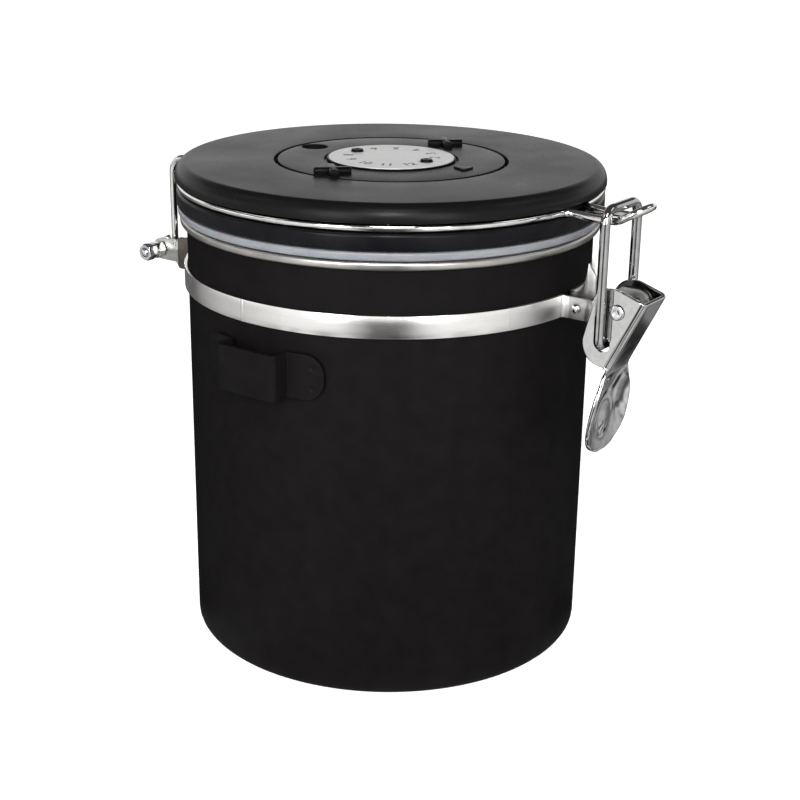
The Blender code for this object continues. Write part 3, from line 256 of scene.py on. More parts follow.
def ease(value, start, run):
    """A smooth rise from 0 to 1 while value goes from start over run."""
    share = min(max((value - start) / run, 0.0), 1.0)
    return share * share * (3 - 2 * share)


def half_height(out, start, radius):
    """Half the height of a strap whose end is rounded from start on."""
    return sqrt(radius ** 2 - min(max(out - start, 0.0), radius) ** 2)


def link(name, data):
    item = bpy.data.objects.new(name, data)
    bpy.context.collection.objects.link(item)
    return item


def smooth(mesh, sharp):
    mesh.shade_smooth()
    mesh.set_sharp_from_angle(angle=radians(sharp))


def from_bmesh(name, bm, finish=None, sharp=32.0):
    """The bmesh as an object. A tool for a cut has no finish."""
    bmesh.ops.recalc_face_normals(bm, faces=bm.faces)
    mesh = bpy.data.meshes.new(name)
    bm.to_mesh(mesh)
    bm.free()
    smooth(mesh, sharp)
    if finish:
        mesh.materials.append(FINISH[finish])
    return link(name, mesh)


def evaluated(item):
    bpy.context.view_layer.update()
    shape = item.evaluated_get(bpy.context.evaluated_depsgraph_get())
    return bpy.data.meshes.new_from_object(shape)


def settle(item, sharp=32.0):
    """Keep what the modifiers make as the piece's own mesh."""
    mesh, old = evaluated(item), item.data
    item.modifiers.clear()
    item.data = mesh
    bpy.data.meshes.remove(old)
    mesh.name = item.name
    smooth(mesh, sharp)
    return item


def cut(item, tool, operation="DIFFERENCE"):
    modifier = item.modifiers.new("cut", "BOOLEAN")
    modifier.operation = operation
    modifier.object = tool
    settle(item)
    bpy.data.objects.remove(tool, do_unlink=True)
    return item


def soften(item, width, segments, angle, sharp=32.0):
    """A small rounded edge wherever two faces meet at more than the angle."""
    modifier = item.modifiers.new("soften", "BEVEL")
    modifier.width = width * MM
    modifier.segments = segments
    modifier.limit_method = "ANGLE"
    modifier.angle_limit = radians(angle)
    return settle(item, sharp)


def repaint(item, finish, chosen):
    """A further finish for those faces of the first one whose centre is chosen."""
    item.data.materials.append(FINISH[finish])
    last = len(item.data.materials) - 1
    for face in item.data.polygons:
        if face.material_index == 0 and chosen(face.center / MM):
            face.material_index = last


def bridge(bm, rows, closed=True):
    """Quads between neighbouring rows of vertices."""
    for here, after in zip(rows, rows[1:]):
        for i in range(len(here) if closed else len(here) - 1):
            j = (i + 1) % len(here)
            bm.faces.new((here[i], here[j], after[j], after[i]))


def arc(centre, radius, start, end, steps):
    return [(centre[0] + radius * cos(turn), centre[1] + radius * sin(turn))
            for turn in spread(start, end, steps)]


def circle(radius, steps=64, centre=(0.0, 0.0), start=0.0):
    return arc(centre, radius, start, start + TURN, steps)[:-1]


def round_axis(radius, turns):
    """Points on a circle as (sideways, out), a turn of 0 being straight out."""
    return [(radius * sin(turn), radius * cos(turn)) for turn in turns]


def mirrored(half, middle):
    return half + middle + [(-a, b) for a, b in reversed(half)]


def corner_arc(before, corner, after, radius, steps=None):
    """Points of the arc that rounds a corner, by default one each 6 degrees."""
    inward, outward = before - corner, after - corner
    opening = inward.angle(outward)
    reach = min(radius / tan(opening / 2), inward.length * 0.49, outward.length * 0.49)
    a, b = inward.normalized(), outward.normalized()
    size = reach * tan(opening / 2)
    centre = corner + (a + b).normalized() * (size / sin(opening / 2))
    start, end = corner + a * reach - centre, corner + b * reach - centre
    sweep = start.angle(end)
    return [centre + (start * sin((1 - share) * sweep) + end * sin(share * sweep)) / sin(sweep)
            for share in spread(0.0, 1.0, steps or max(3, ceil(sweep / radians(6))))]


def rounded(points, radii, steps):
    """A closed outline with its corners rounded."""
    points = [Vector(point) for point in points]
    result = []
    for i, (point, radius) in enumerate(zip(points, radii)):
        if radius > 0:
            after = points[(i + 1) % len(points)]
            result += corner_arc(points[i - 1], point, after, radius, steps)
        else:
            result.append(point)
    return result


def block(left, right, low, high, radii, steps):
    """A rectangle with its corners rounded, from the lower left one on."""
    return rounded([(left, low), (right, low), (right, high), (left, high)], radii, steps)


def lathe(name, profile, finish, sides, sharp=32.0, centre=(0.0, 0.0)):
    """Turn a closed outline of (radius, height) round an upright axis."""
    bm = bmesh.new()
    columns = []
    for radius, height in profile:
        ring = circle(radius, sides, centre) if radius > 1e-6 else [centre]
        columns.append([bm.verts.new((x * MM, y * MM, height * MM)) for x, y in ring])
    for here, after in zip(columns, columns[1:] + columns[:1]):
        if len(here) + len(after) > 2:
            for i in range(sides):
                corners = [column[k % len(column)]
                           for column, k in ((here, i), (here, i + 1), (after, i + 1), (after, i))]
                bm.faces.new(list(dict.fromkeys(corners)))
    return from_bmesh(name, bm, finish, sharp)


def turned_x(name, profile, y, z, finish=None, sides=48, sharp=32.0):
    """A turned piece that lies along X. Its profile is (radius, x)."""
    item = lathe(name, profile, finish, sides, sharp)
    for vertex in item.data.vertices:
        x0, y0, z0 = vertex.co
        vertex.co = (z0, y0 + y * MM, -x0 + z * MM)
    return item


def plan(a, b, c):
    return (a, b, c)


def along_x(a, b, c):
    """Outline drawn as (y, z), extruded along X."""
    return (c, a, b)


def prism(name, outline, low, high, finish=None, place=plan):
    bm = bmesh.new()
    ends = [[bm.verts.new(Vector(place(a, b, level)) * MM) for a, b in outline]
            for level in (low, high)]
    for end in ends:
        bm.faces.new(end)
    bridge(bm, ends)
    return from_bmesh(name, bm, finish)


def pierce(item, outline, low, high, place=plan, operation="DIFFERENCE"):
    """Cut a prism out of a piece, or join it on."""
    return cut(item, prism("tool", outline, low, high, place=place), operation)


def tube(name, route, radius, finish, sides):
    """A round wire along 3D points, with slightly rounded ends."""
    points = [Vector(point) * MM for point in route]
    lines = [(after - before).normalized()
             for before, after in zip(points[:1] + points, points[1:] + points[-1:])]
    size = radius * MM
    stations = [(point, line, size) for point, line in zip(points, lines)]
    for share in (0.86, 0.5):
        past = size * (sqrt(1 - share ** 2) - 0.5)
        stations.insert(0, (points[0] - lines[0] * past, lines[0], size * share))
        stations.append((points[-1] + lines[-1] * past, lines[-1], size * share))
    bm = bmesh.new()
    rings = []
    side = lines[0].orthogonal().normalized()
    previous = lines[0]
    for spot, line, width in stations:
        side = previous.rotation_difference(line) @ side
        side = (side - line * side.dot(line)).normalized()
        other = line.cross(side)
        rings.append([bm.verts.new(spot + (side * c + other * s) * width)
                      for c, s in circle(1.0, sides)])
        previous = line
    bridge(bm, rings)
    bm.faces.new(rings[0])
    bm.faces.new(rings[-1])
    return from_bmesh(name, bm, finish, 60.0)


def rounded_route(corners, radii):
    """A route through 3D points, its inner corners rounded."""
    corners = [Vector(corner) for corner in corners]
    route = corners[:1]
    for before, corner, after, radius in zip(corners, corners[1:], corners[2:], radii):
        route += corner_arc(before, corner, after, radius)
    return route + corners[-1:]


def resample(route, step):
    """Points at even steps along a route, so a wire's facets stay even."""
    points = [Vector(point) for point in route]
    lengths = [0.0]
    for a, b in zip(points, points[1:]):
        lengths.append(lengths[-1] + (b - a).length)
    result = []
    index = 0
    for target in spread(0.0, lengths[-1], max(2, round(lengths[-1] / step))):
        while index < len(lengths) - 2 and lengths[index + 1] < target:
            index += 1
        share = (target - lengths[index]) / (lengths[index + 1] - lengths[index])
        result.append(points[index].lerp(points[index + 1], share))
    return result


def relax(route, rounds):
    """Ease the kinks of a wire's route, keeping its ends."""
    for _ in range(rounds):
        eased = [here * 0.5 + (before + after) * 0.25
                 for before, here, after in zip(route, route[1:], route[2:])]
        route = route[:1] + eased + route[-1:]
    return route


def sheet(name, path, thickness, low, high, finish, edge, rows=1, press=lambda point, z: 0.0):
    """A bent sheet from its mid line in plan. press moves a point of the sheet outward."""
    bm = bmesh.new()
    grid = []
    for before, point, after in zip(path[:1] + path, path, path[1:] + path[-1:]):
        along = Vector((after[0] - before[0], after[1] - before[1])).normalized()
        faces = []
        for half in (-thickness / 2, thickness / 2):
            column = []
            for z in spread(low(point), high(point), rows):
                push = half + press(point, z)
                x, y = point[0] + along.y * push, point[1] - along.x * push
                column.append(bm.verts.new((x * MM, y * MM, z * MM)))
            faces.append(column)
        grid.append(faces)
    for here, after in zip(grid, grid[1:]):
        for side in (0, 1):
            bridge(bm, [here[side], after[side]], False)
        for k in (0, rows):
            bm.faces.new((here[0][k], here[1][k], after[1][k], after[0][k]))
    for end in (grid[0], grid[-1]):
        bridge(bm, end, False)
    return soften(from_bmesh(name, bm, finish, 40.0), edge, 2, 50.0)


def shell_grid(name, rows, thickness, finish, inside, shade_from):
    """A sheet of even thickness under a grid of outer points, its inside in painted shade from one
    row on.
    """
    points = [[Vector(point) for point in row] for row in rows]
    last, width = len(points) - 1, len(points[0]) - 1
    cells = [(i, k) for i in range(last + 1) for k in range(width + 1)]

    def at(grid, i, k):
        return grid[min(max(i, 0), last)][min(max(k, 0), width)]

    def grid_of(value):
        return [[value(i, k) for k in range(width + 1)] for i in range(last + 1)]

    normals = grid_of(lambda i, k: (at(points, i + 1, k) - at(points, i - 1, k)).cross(
        at(points, i, k + 1) - at(points, i, k - 1)).normalized())
    if normals[last // 3][width // 2].y > 0:
        normals = grid_of(lambda i, k: -normals[i][k])
    for _ in range(2):
        normals = grid_of(lambda i, k: (
            normals[i][k] * 2 + at(normals, i - 1, k) + at(normals, i + 1, k)
            + at(normals, i, k - 1) + at(normals, i, k + 1)).normalized())
    soft = min(0.3, thickness * 0.35)
    border = ([(0, k) for k in range(width)] + [(i, width) for i in range(last)]
              + [(last, k) for k in range(width, 0, -1)] + [(i, 0) for i in range(last, 0, -1)])
    reach = dict.fromkeys(cells, Vector((0, 0, 0)))
    for i, k in border:
        away = Vector((0, 0, 0))
        if k in (0, width):
            away += (points[i][k] - points[i][1 if k == 0 else width - 1]).normalized()
        if i in (0, last):
            away += (points[i][k] - points[1 if i == 0 else last - 1][k]).normalized()
        reach[(i, k)] = away.normalized()
    bm = bmesh.new()
    outer = grid_of(lambda i, k: bm.verts.new((points[i][k] - reach[(i, k)] * soft) * MM))
    inner = grid_of(lambda i, k: bm.verts.new(
        (points[i][k] - reach[(i, k)] * soft - normals[i][k] * thickness) * MM))
    bridge(bm, outer, False)
    for i in range(last):
        row_start = len(bm.faces)
        bridge(bm, inner[i:i + 2], False)
        # From this row on the inside faces take the second finish, a painted shade on the lever.
        if i >= shade_from:
            bm.faces.ensure_lookup_table()
            for face in bm.faces[row_start:]:
                face.material_index = 1
    loops = []
    for i, k in border:
        line = [outer[i][k]]
        for back, down in ((0.29, soft * 0.29), (0.0, soft), (0.0, thickness - soft),
                           (0.29, thickness - soft * 0.29)):
            spot = points[i][k] - reach[(i, k)] * soft * back - normals[i][k] * down
            line.append(bm.verts.new(spot * MM))
        loops.append(line + [inner[i][k]])
    bridge(bm, loops + loops[:1], False)
    item = from_bmesh(name, bm, finish, 70.0)
    item.data.materials.append(FINISH[inside])
    return item


def fillet(radius, offset, size, steps):
    """From a straight side at an offset to the circle, as (sideways, out), and the turn there."""
    centre = (offset + size, sqrt((radius + size) ** 2 - (offset + size) ** 2))
    turn = atan2(*centre)
    return arc(centre, size, pi, pi + pi / 2 - turn, steps), turn


def words(name, entries, out, lean, height, z, weight, finish):
    """Flat figures in a ring. Entries are (text, turn), and each leans on from its turn."""
    bm = bmesh.new()
    for text, turn in entries:
        curve = bpy.data.curves.new("figures", "FONT")
        curve.body = text
        curve.size = height * MM
        curve.align_x = curve.align_y = "CENTER"
        curve.extrude = 0.012 * MM
        curve.offset = height * weight * MM
        item = link("figures", curve)
        mesh = evaluated(item)
        place = Vector((out * cos(turn), out * sin(turn), z)) * MM
        mesh.transform(Matrix.Translation(place) @ Matrix.Rotation(turn + lean, 4, "Z"))
        bm.from_mesh(mesh)
        bpy.data.objects.remove(item, do_unlink=True)
        bpy.data.meshes.remove(mesh)
        bpy.data.curves.remove(curve)
    return from_bmesh(name, bm, finish, 30.0)


def dress(item, body, slot, *nodes):
    """A piece's body and the CAD nodes that it stands for; slot is not used."""
    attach(item, body)
    if nodes:
        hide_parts(*nodes)


# ---------------------------------------------------------------- can

def build_can():
    radius, bore, top = 57.0, 56.3, 120.3
    base = [(0, 0.9), (48.6, 0.9), (50.4, 0.0), (radius, 0.0), (radius, top), (bore, top),
            (bore, 1.7), (0, 1.7)]
    wall = lathe("can_wall", rounded(base, [0, 1.2, 0.8, 2.2, 0, 0, 1.8, 0], 7), "can_coat", 256)
    repaint(wall, "liner_steel", lambda p: hypot(p.x, p.y) < 56.6 and p.z > 1.3)
    dress(wall, "can", "can_coat", "can_shell")
    bead = block(56.25, 58.8, 119.92, 122.3, [0.1, 0.85, 0.95, 0.4], 7)
    dress(lathe("can_rim", bead, "rim_steel", 256), "can", "band_steel")


def build_band():
    """A strip round the neck, whose ears stand out side by side and end round at the pivot."""
    middle, gap, eye, pivot = 57.65, 2.1, 3.8, LEVER_PIVOT[0]
    bottom, top = 102.3, 108.2
    bend, start = fillet(middle, gap, 1.3, 12)
    outs = [pivot + eye * sin(radians(angle)) for angle in spread(86, 0, 14)]
    outs += spread(pivot, 68.8, 8)[1:] + spread(68.65, 64.65, 16) + spread(64.4, 59.3, 14)
    half = [(gap + 2.55 * ease(out, 64.65, 4.0), out) for out in outs if out > bend[0][1] + 0.05]
    half += bend
    seam = radians(265.0)
    turns = spread(start, TURN - start, 260)[1:-1]
    turns += [seam + radians(step) for step in (-0.30, -0.22, -0.10, 0.02, 0.10)]
    wrap = []
    for turn in sorted(turns):
        lap = 0.13 if abs(turn - seam + radians(0.10)) < radians(0.15) else 0.0
        wrap += round_axis(middle + lap, [turn])

    def drop(out):
        return eye - half_height(out, pivot, eye)

    def fin(out):
        """The upright fin on one ear: a hollow rise, then a straight fall."""
        foot, peak, end, height = 59.0, 62.85, 69.0, 8.6
        if out <= foot or out >= end:
            return 0.0
        if out <= peak:
            return height * (1 - sqrt(max(1 - ((out - foot) / (peak - foot)) ** 2, 0.0)))
        return height * (end - out) / (end - peak)

    def low(point):
        return bottom + 1.5 * ease(-point[1], 67.95, 4.0) + drop(-point[1])

    def high(point):
        rise = 3.2 * ease(-point[1], 67.95, 4.0)
        if point[0] > 0:
            rise = max(rise, fin(-point[1]))
        return top + rise - drop(-point[1])

    path = [(sideways, -out) for sideways, out in mirrored(half, wrap)]
    band = sheet("clamp_band", path, 0.8, low, high, "band_steel", 0.12)
    for radius, (out, up) in ((1.62, LEVER_PIVOT), (1.0, CLAMP_RIVET)):
        pierce(band, circle(radius, 48, (-out, up)), -9, 9, along_x)
    # Painted shade: the band darkens toward the latch and more on the ears, standing for the shade
    # there.
    repaint(band, "band_end_shaded_steel", lambda p: -60.2 <= p.y < -53.5)
    repaint(band, "ear_shaded_steel", lambda p: p.y < -60.2)
    dress(band, "can", "band_steel", "clamp_band")


def build_rivets():
    clamp = [(0, 3.45), (0.55, 3.44), (0.95, 3.29), (1.2, 3.07), (1.25, 2.85), (1.2, 2.75),
             (0.8, 2.75)]
    pivot = [(0, 6.91), (0.75, 6.92), (0.95, 7.03), (1.2, 7.05), (1.75, 7.02), (2.0, 6.87),
             (2.05, 6.73), (1.98, 6.65), (1.4, 6.65)]
    for name, (out, up), half, sides, sharp in (("clamp_rivet", CLAMP_RIVET, clamp, 40, 50.0),
                                                ("latch_rivet", LEVER_PIVOT, pivot, 56, 40.0)):
        profile = half + [(radius, -x) for radius, x in reversed(half)]
        dress(turned_x(name, profile, -out, up, "rivet_plate", sides, sharp), "can", "rivet_steel",
              name)


def build_bracket():
    side, middle, bend, eye = 17.1, 58.9, 1.5, 3.2
    angle = asin((side - bend) / (middle + bend))
    centre = (side - bend, cos(angle) * (middle + bend))
    outs = [HINGE[0] + eye * sin(radians(step)) for step in spread(86, 0, 12)]
    outs += spread(HINGE[0], centre[1], 48)[1:-1]
    half = [(side, out) for out in outs] + arc(centre, bend, 0, -pi / 2 - angle, 14)
    path = mirrored(half, round_axis(middle, spread(angle, -angle, 40)[1:-1]))

    def edge(out, web_edge, sign):
        flange_edge = HINGE[1] + sign * half_height(out, HINGE[0], eye)
        return web_edge + (flange_edge - web_edge) * ease(out, 65.4, 1.6)

    bracket = sheet("hinge_bracket", path, 1.2, lambda point: edge(point[1], 98.0, -1),
                    lambda point: edge(point[1], 107.5, 1), "dull_steel", 0.18)
    pierce(bracket, circle(1.55, 48, HINGE), -22, 22, along_x)
    repaint(bracket, "flange_steel", lambda p: p.y > 66.0)
    dress(bracket, "can", "bracket_steel", "hinge_bracket")


def build_bolt():
    core, crest, pitch = 1.14, 1.3, 0.36
    profile = [(0, -25.2), (0.5, -25.16), (0.95, -24.98), (1.2, -24.65), (crest, -24.25)]
    for index in range(24):
        x = -24.1 + pitch * index
        profile += [(crest, x), (core, x + 0.13), (crest, x + 0.26)]
    profile += [(crest, 17.95), (2.36, 17.95), (2.4, 18.1), (2.4, 19.1), (2.25, 19.45),
                (1.7, 19.68), (0.9, 19.75), (0, 19.75)]
    dress(turned_x("hinge_bolt", profile, *HINGE, "bolt_plate", 48, 50.0), "can", "bolt_steel",
          "hinge_bolt")
    for name, end, turn in (("hinge_nut", -17.95, 0.0), ("hinge_lock_nut", -21.4, 0.25)):
        nut = prism(name, circle(2.6, 6, HINGE, turn), end - 3.2, end, "bolt_plate", along_x)
        cone = [(0, end - 3.3), (2.1, end - 3.3), (2.62, end - 2.8), (2.62, end - 0.4),
                (2.1, end + 0.1), (0, end + 0.1)]
        cut(nut, turned_x("tool", cone, *HINGE), "INTERSECT")
        pierce(nut, circle(1.5, 40, HINGE), end - 4, end + 1, along_x)
        dress(soften(nut, 0.1, 2, 25.0), "can", "bolt_steel", name)


def build_holder():
    """A strap that stands off the can, with a tab with two weld dimples at each side."""
    middle, front, side, bend, corner = 57.85, 62.8, 9.15, 0.9, 5.2
    root, turn = fillet(middle, side, bend, 10)
    reach = turn + 9.8 / middle
    end = middle * sin(reach)
    half = [(across, front) for across in spread(0, side - bend, 16)[:-1]]
    half += arc((side - bend, front - bend), bend, pi / 2, 0, 10)
    half += [(side, out) for out in spread(front - bend, root[0][1], 6)[1:-1]]
    half += root + round_axis(middle, spread(turn, reach, 40)[1:])
    path = [(-out, -across) for across, out in reversed(half[1:])]
    path += [(-out, across) for across, out in half]

    def trim(point):
        across = min(abs(point[1]), end - 0.002 * corner)
        return corner - half_height(across, end - corner, corner)

    def press(point, z):
        across = abs(point[1])
        if across <= 12:
            return 0.0
        gaps = [hypot(across - 16.2, z - height) for height in (93.4, 87.9)]
        return sum(0.34 * exp(-(gap / 0.62) ** 2) - 0.10 * exp(-(gap / 1.5) ** 2) for gap in gaps)

    holder = sheet("scoop_holder", path, 1.2, lambda point: 84.5 + trim(point),
                   lambda point: 96.8 - trim(point), "holder_coat", 0.22, 30, press)
    dress(holder, "can", "holder_coat", "scoop_holder")


# ---------------------------------------------------------------- lid

def build_lid():
    ring = block(52.65, 59.3, 122.55, 124.75, [0.4, 0.75, 0.6, 0.3], 6)
    dress(lathe("gasket", ring, "silicone", 256), "lid", "silicone", "gasket")
    base = [(LID_HOLE, 131.3), (48.5, 131.3), (48.5, 116.3), (50.3, 116.3), (52.4, 121.0),
            (52.4, 125.0), (59.6, 125.0), (59.6, 129.6), (57.35, 129.6), (57.35, 132.9),
            (LID_HOLE, 132.9)]
    radii = [0, 1.0, 0.5, 0.7, 1.5, 0.4, 0.9, 0.95, 0.5, 0.3, 0]
    body = lathe("lid_base", rounded(base, radii, 6), "flange_plastic", 256)
    for spot in circle(SCREW_OUT, 3, start=pi / 2):
        pierce(body, circle(3.4, 40, spot), 118.35, 131.8, operation="UNION")
    dress(body, "lid", "lid_plastic", "lid_base")
    out, top, bottom, wall = 59.9, LID_TOP, 132.1, 0.8
    crown, fall = 3.1, 4.1
    edge = [(out - crown * (1 - cos(t)), top - fall * (1 - sin(t)))
            for t in spread(0, QUARTER, 16)]
    inside = [(out - wall - crown * 0.9 * (1 - cos(t)), top - wall - fall * 0.85 * (1 - sin(t)))
              for t in spread(QUARTER, 0, 8)]
    floor = rounded([(40.0, top), (32.6, top), (32.6, 133.95), (LID_HOLE, 133.95),
                     (LID_HOLE, 133.15), (33.3, 133.15), (33.3, top - wall), (40.0, top - wall)],
                    [0, 0.35, 0.3, 0.1, 0.1, 0.6, 0.3, 0], 6)
    foot = rounded([(out - wall, bottom + 0.6), (out - wall, bottom), (out, bottom),
                    (out, bottom + 0.5)], [0, 0.3, 0.3, 0], 5)
    profile = edge + floor + inside + foot
    dress(lathe("lid_cover", profile, "lid_coat", 288), "lid", "lid_steel", "lid_cover")
    scale = block(6.0, 32.0, 134.2, 134.6, [0.1] * 4, 2)
    dress(lathe("date_scale", scale, "scale_paper", 160), "lid", "scale_print", "date_scale")
    days = [(str(day), pi / 2 - TURN * (day - 1) / 31) for day in range(1, 32)]
    dress(words("day_figures", days, WINDOW_OUT, -pi / 2, 3.2, 134.605, 0.01, "ink_black"), "lid",
          "scale_print")


def build_ring():
    """The lid's wire: a loop toward the latch, a ring round the flange, two legs with eyes."""
    radius, strand, tip, leg, eye = 58.6, 4.5, 80.4, 70.45, 2.55
    loop = strand * cos(LATCH_TILT)
    join, start = fillet(radius, strand, 3.0, 12)
    root, turn = fillet(radius, 14.0, 3.5, 12)
    front = [(strand * sin(t), tip - loop * (1 - cos(t))) for t in spread(0, QUARTER, 20)]
    front += [(strand, out) for out in spread(tip - loop, join[0][1], 24)[1:-1]] + join
    front += round_axis(radius, spread(start, pi - turn, 110)[1:-1])
    front += [(sideways, -out) for sideways, out in reversed(root)]
    half = [Vector((sideways, -out, WIRE_UP - 0.4 * ease(out, 60.6, 6.0)
                    + max(out - 73.6, 0.0) * tan(LATCH_TILT))) for sideways, out in front]
    run = half[-1]
    half += rounded_route([run, (run.x, leg, WIRE_UP), (run.x, leg, HINGE[1])], [4.5])[1:]
    half += [Vector((run.x, y, z)) for y, z in arc(HINGE, eye, pi, 2.5 * pi, 30)[1:]]
    other = [Vector((-spot.x, spot.y, spot.z)) for spot in half[1:]]
    route = relax(resample(half[::-1] + other, 0.7), 2)
    dress(tube("lid_ring", route, 1.0, "wire_plate", 22), "lid", "chrome_wire", "lid_ring")


def build_under_lid():
    plate = lathe("plug_plate", block(10.25, 48.2, 116.6, 118.1, [0.3, 0.4, 0.3, 0.2], 4),
                  "inner_plastic", 192)
    head = [(0, 115.25), (1.7, 115.25), (2.35, 115.5), (2.6, 115.95), (2.6, 116.35), (1.1, 116.35),
            (1.1, 123.85), (0, 123.85)]
    cross = [(-1.5, -0.28), (-0.28, -0.28), (-0.28, -1.5)]
    for _ in range(9):
        cross.append((-cross[-3][1], cross[-3][0]))
    for index, (x, y) in enumerate(circle(SCREW_OUT, 3, start=pi / 2)):
        pierce(plate, circle(1.35, 32, (x, y)), 115, 120)
        name = f"plate_screw_{index + 1}"
        screw = lathe(name, head, "screw_plate", 40, centre=(x, y))
        pierce(screw, [(a + x, b + y) for a, b in cross], 115, 115.85)
        dress(screw, "lid", "screw_steel", name)
    dress(plate, "lid", "lid_plastic", "plug_plate")
    low, radius = 115.15, 8.45
    seat = [(1.15, 116.9), (8.7, 116.9), (8.7, low), (12.5, low), (12.5, 116.35), (10.0, 116.35),
            (10.0, 119.95), (8.7, 119.95), (8.7, 118.0), (1.15, 118.0)]
    radii = [0.1, 0.1, 0.3, 0.5, 0.2, 0.1, 0.3, 0.3, 0.1, 0.1]
    body = lathe("valve_seat", rounded(seat, radii, 4), "inner_plastic", 120)
    for spot in circle(4.4, 4, start=0.2):
        pierce(body, circle(0.9, 24, spot), 116, 119)
    dress(body, "lid", "valve_plastic", "valve_seat")
    disc = [(0, 116.9), (0.9, 116.9), (0.9, 118.25), (7.0, 118.25), (7.0, 118.45), (1.8, 118.85),
            (0, 118.85)]
    dress(lathe("valve_disc", disc, "silicone", 96), "lid", "silicone", "valve_disc")
    cap = lathe("valve_cap", block(0, radius, low, 116.15, [0, 0.3, 0.2, 0], 4), "inner_plastic",
                96)
    for y in spread(-5.6, 5.6, 4):
        reach = sqrt(radius ** 2 - y ** 2) * 0.62
        pierce(cap, block(-reach, reach, y - 0.5, y + 0.5, [0.45] * 4, 4), 114, 117)
    dress(cap, "lid", "valve_plastic", "valve_cap")
    clip = block(LID_HOLE, 6.75, 130.15, 131.05, [0.15] * 4, 3)
    dress(lathe("hub_clip", clip, "screw_plate", 64), "lid", "clip_steel", "hub_clip")


# ---------------------------------------------------------------- dial

def build_date_ring():
    top, low = LID_TOP, 135.15
    plate = [(13.0, low), (31.55, low), (31.55, top), (18.75, top), (18.75, 135.95), (13.0, 135.95)]
    ring = lathe("date_ring", rounded(plate, [0.2, 0.3, 0.18, 0.16, 0.1, 0.2], 5), "dial_coat", 240)
    window = [(0, low - 1), (3.75, low - 1), (3.75, top - 0.25), (4.05, top + 0.05),
              (4.05, top + 1), (0, top + 1)]
    cut(ring, lathe("tool", window, None, 72, centre=(0, WINDOW_OUT)))
    dress(ring, "date_ring", "dial_plastic", "date_ring")
    bar = block(-1.35, 1.35, 136.5, 138.5, [0, 0, 0.95, 0.95], 6)
    for index, out in enumerate((-26.5, 26.5)):
        bars = []
        for turn in (pi / 4, 3 * pi / 4):
            c, s = cos(turn), sin(turn)
            item = prism(f"date_grip_{index + 1}", bar, -5.0, 5.0, "hub_black_and_shade",
                         lambda across, up, far: (out + far * c - across * s,
                                                  far * s + across * c, up))
            bars.append(soften(item, 0.45, 4, 60.0, 30.0))
        dress(cut(*bars, "UNION"), "date_ring", "dial_plastic")
    outline = rounded([(0, -20.5), (-2.6, -25.8), (2.6, -25.8)], [0.35] * 3, 5)
    pointer = prism("date_pointer", outline, 136.6, 137.35, "dial_coat")
    dress(soften(pointer, 0.16, 3, 50.0, 25.0), "date_ring", "dial_plastic")


def build_hub():
    top, pocket = 137.25, 136.65
    profile = [(0, 129.9), (3.8, 129.9), (3.8, 136.2), (17.85, 136.2), (17.85, top), (17.6, top),
               (17.6, pocket), (0, pocket)]
    radii = [0, 0.3, 0.3, 0.1, 0.12, 0.1, 0.1, 0]
    hub = lathe("month_hub", rounded(profile, radii, 4), "hub_cream", 200)
    # Painted shade: the hub's side wall takes the black finish, standing for the shade round the
    # hub's edge.
    repaint(hub, "hub_black_and_shade", lambda p: hypot(p.x, p.y) > 17.7 and p.z < top - 0.05)
    dress(hub, "month_hub", "hub_plastic", "month_hub")
    label = lathe("month_label", block(0, 17.45, 136.9, 137.4, [0, 0.1, 0.16, 0], 4), "label_foil",
                  200)
    for y in STUD_PLACES:
        pierce(label, circle(1.95, 48, (0, y)), 136, 138)
    dress(label, "month_hub", "label_foil", "month_label")
    stud = rounded([(0, 136.5), (1.7, 136.5), (1.7, 138.1), (0.55, 138.1), (0.45, 137.9),
                    (0, 137.85)], [0, 0, 0.35, 0.1, 0.1, 0], 5)
    for index, y in enumerate(STUD_PLACES):
        item = lathe(f"month_stud_{index + 1}", stud, "hub_black_and_shade", 56, centre=(0, y))
        dress(item, "month_hub", "hub_plastic")
    # The studs stand at places 6 and 12, so two months have no figure.
    months = [(str((7 - place) % 12 or 12), pi / 2 - TURN * place / 12)
              for place in range(1, 13) if place % 6]
    dress(words("month_figures", months, 12.2, pi / 2, 4.0, 137.405, 0.022, "ink_grey"),
          "month_hub", "label_foil")


# ---------------------------------------------------------------- latch

# The thumb tab from the lever's web (0) to its tip (1): share, out, up, half width.
LEAF = ((0.0, 74.05, 90.4, 6.4), (0.12, 74.0, 87.6, 7.1), (0.26, 73.8, 84.4, 8.6),
        (0.42, 73.35, 80.6, 9.6), (0.58, 72.7, 76.8, 10.0), (0.72, 72.1, 73.4, 9.7),
        (0.84, 71.5, 70.6, 8.3), (0.92, 71.1, 68.7, 6.3), (0.97, 70.85, 67.4, 4.2),
        (1.0, 70.7, 66.75, 1.6))


def leaf_at(share):
    """The tab's out, up and half width, on a smooth curve through LEAF."""
    index = next(i for i in range(len(LEAF) - 1) if share <= LEAF[i + 1][0])
    before, first, second, after = (LEAF[min(max(index + step, 0), len(LEAF) - 1)]
                                    for step in (-1, 0, 1, 2))
    run = second[0] - first[0]
    part = (share - first[0]) / run
    result = []
    for k in (1, 2, 3):
        rise = (second[k] - before[k]) / (second[0] - before[0]) * run
        fall = (after[k] - first[k]) / (after[0] - first[0]) * run
        result.append((2 * part ** 3 - 3 * part ** 2 + 1) * first[k]
                      + (part ** 3 - 2 * part ** 2 + part) * rise
                      + (3 * part ** 2 - 2 * part ** 3) * second[k]
                      + (part ** 3 - part ** 2) * fall)
    return result


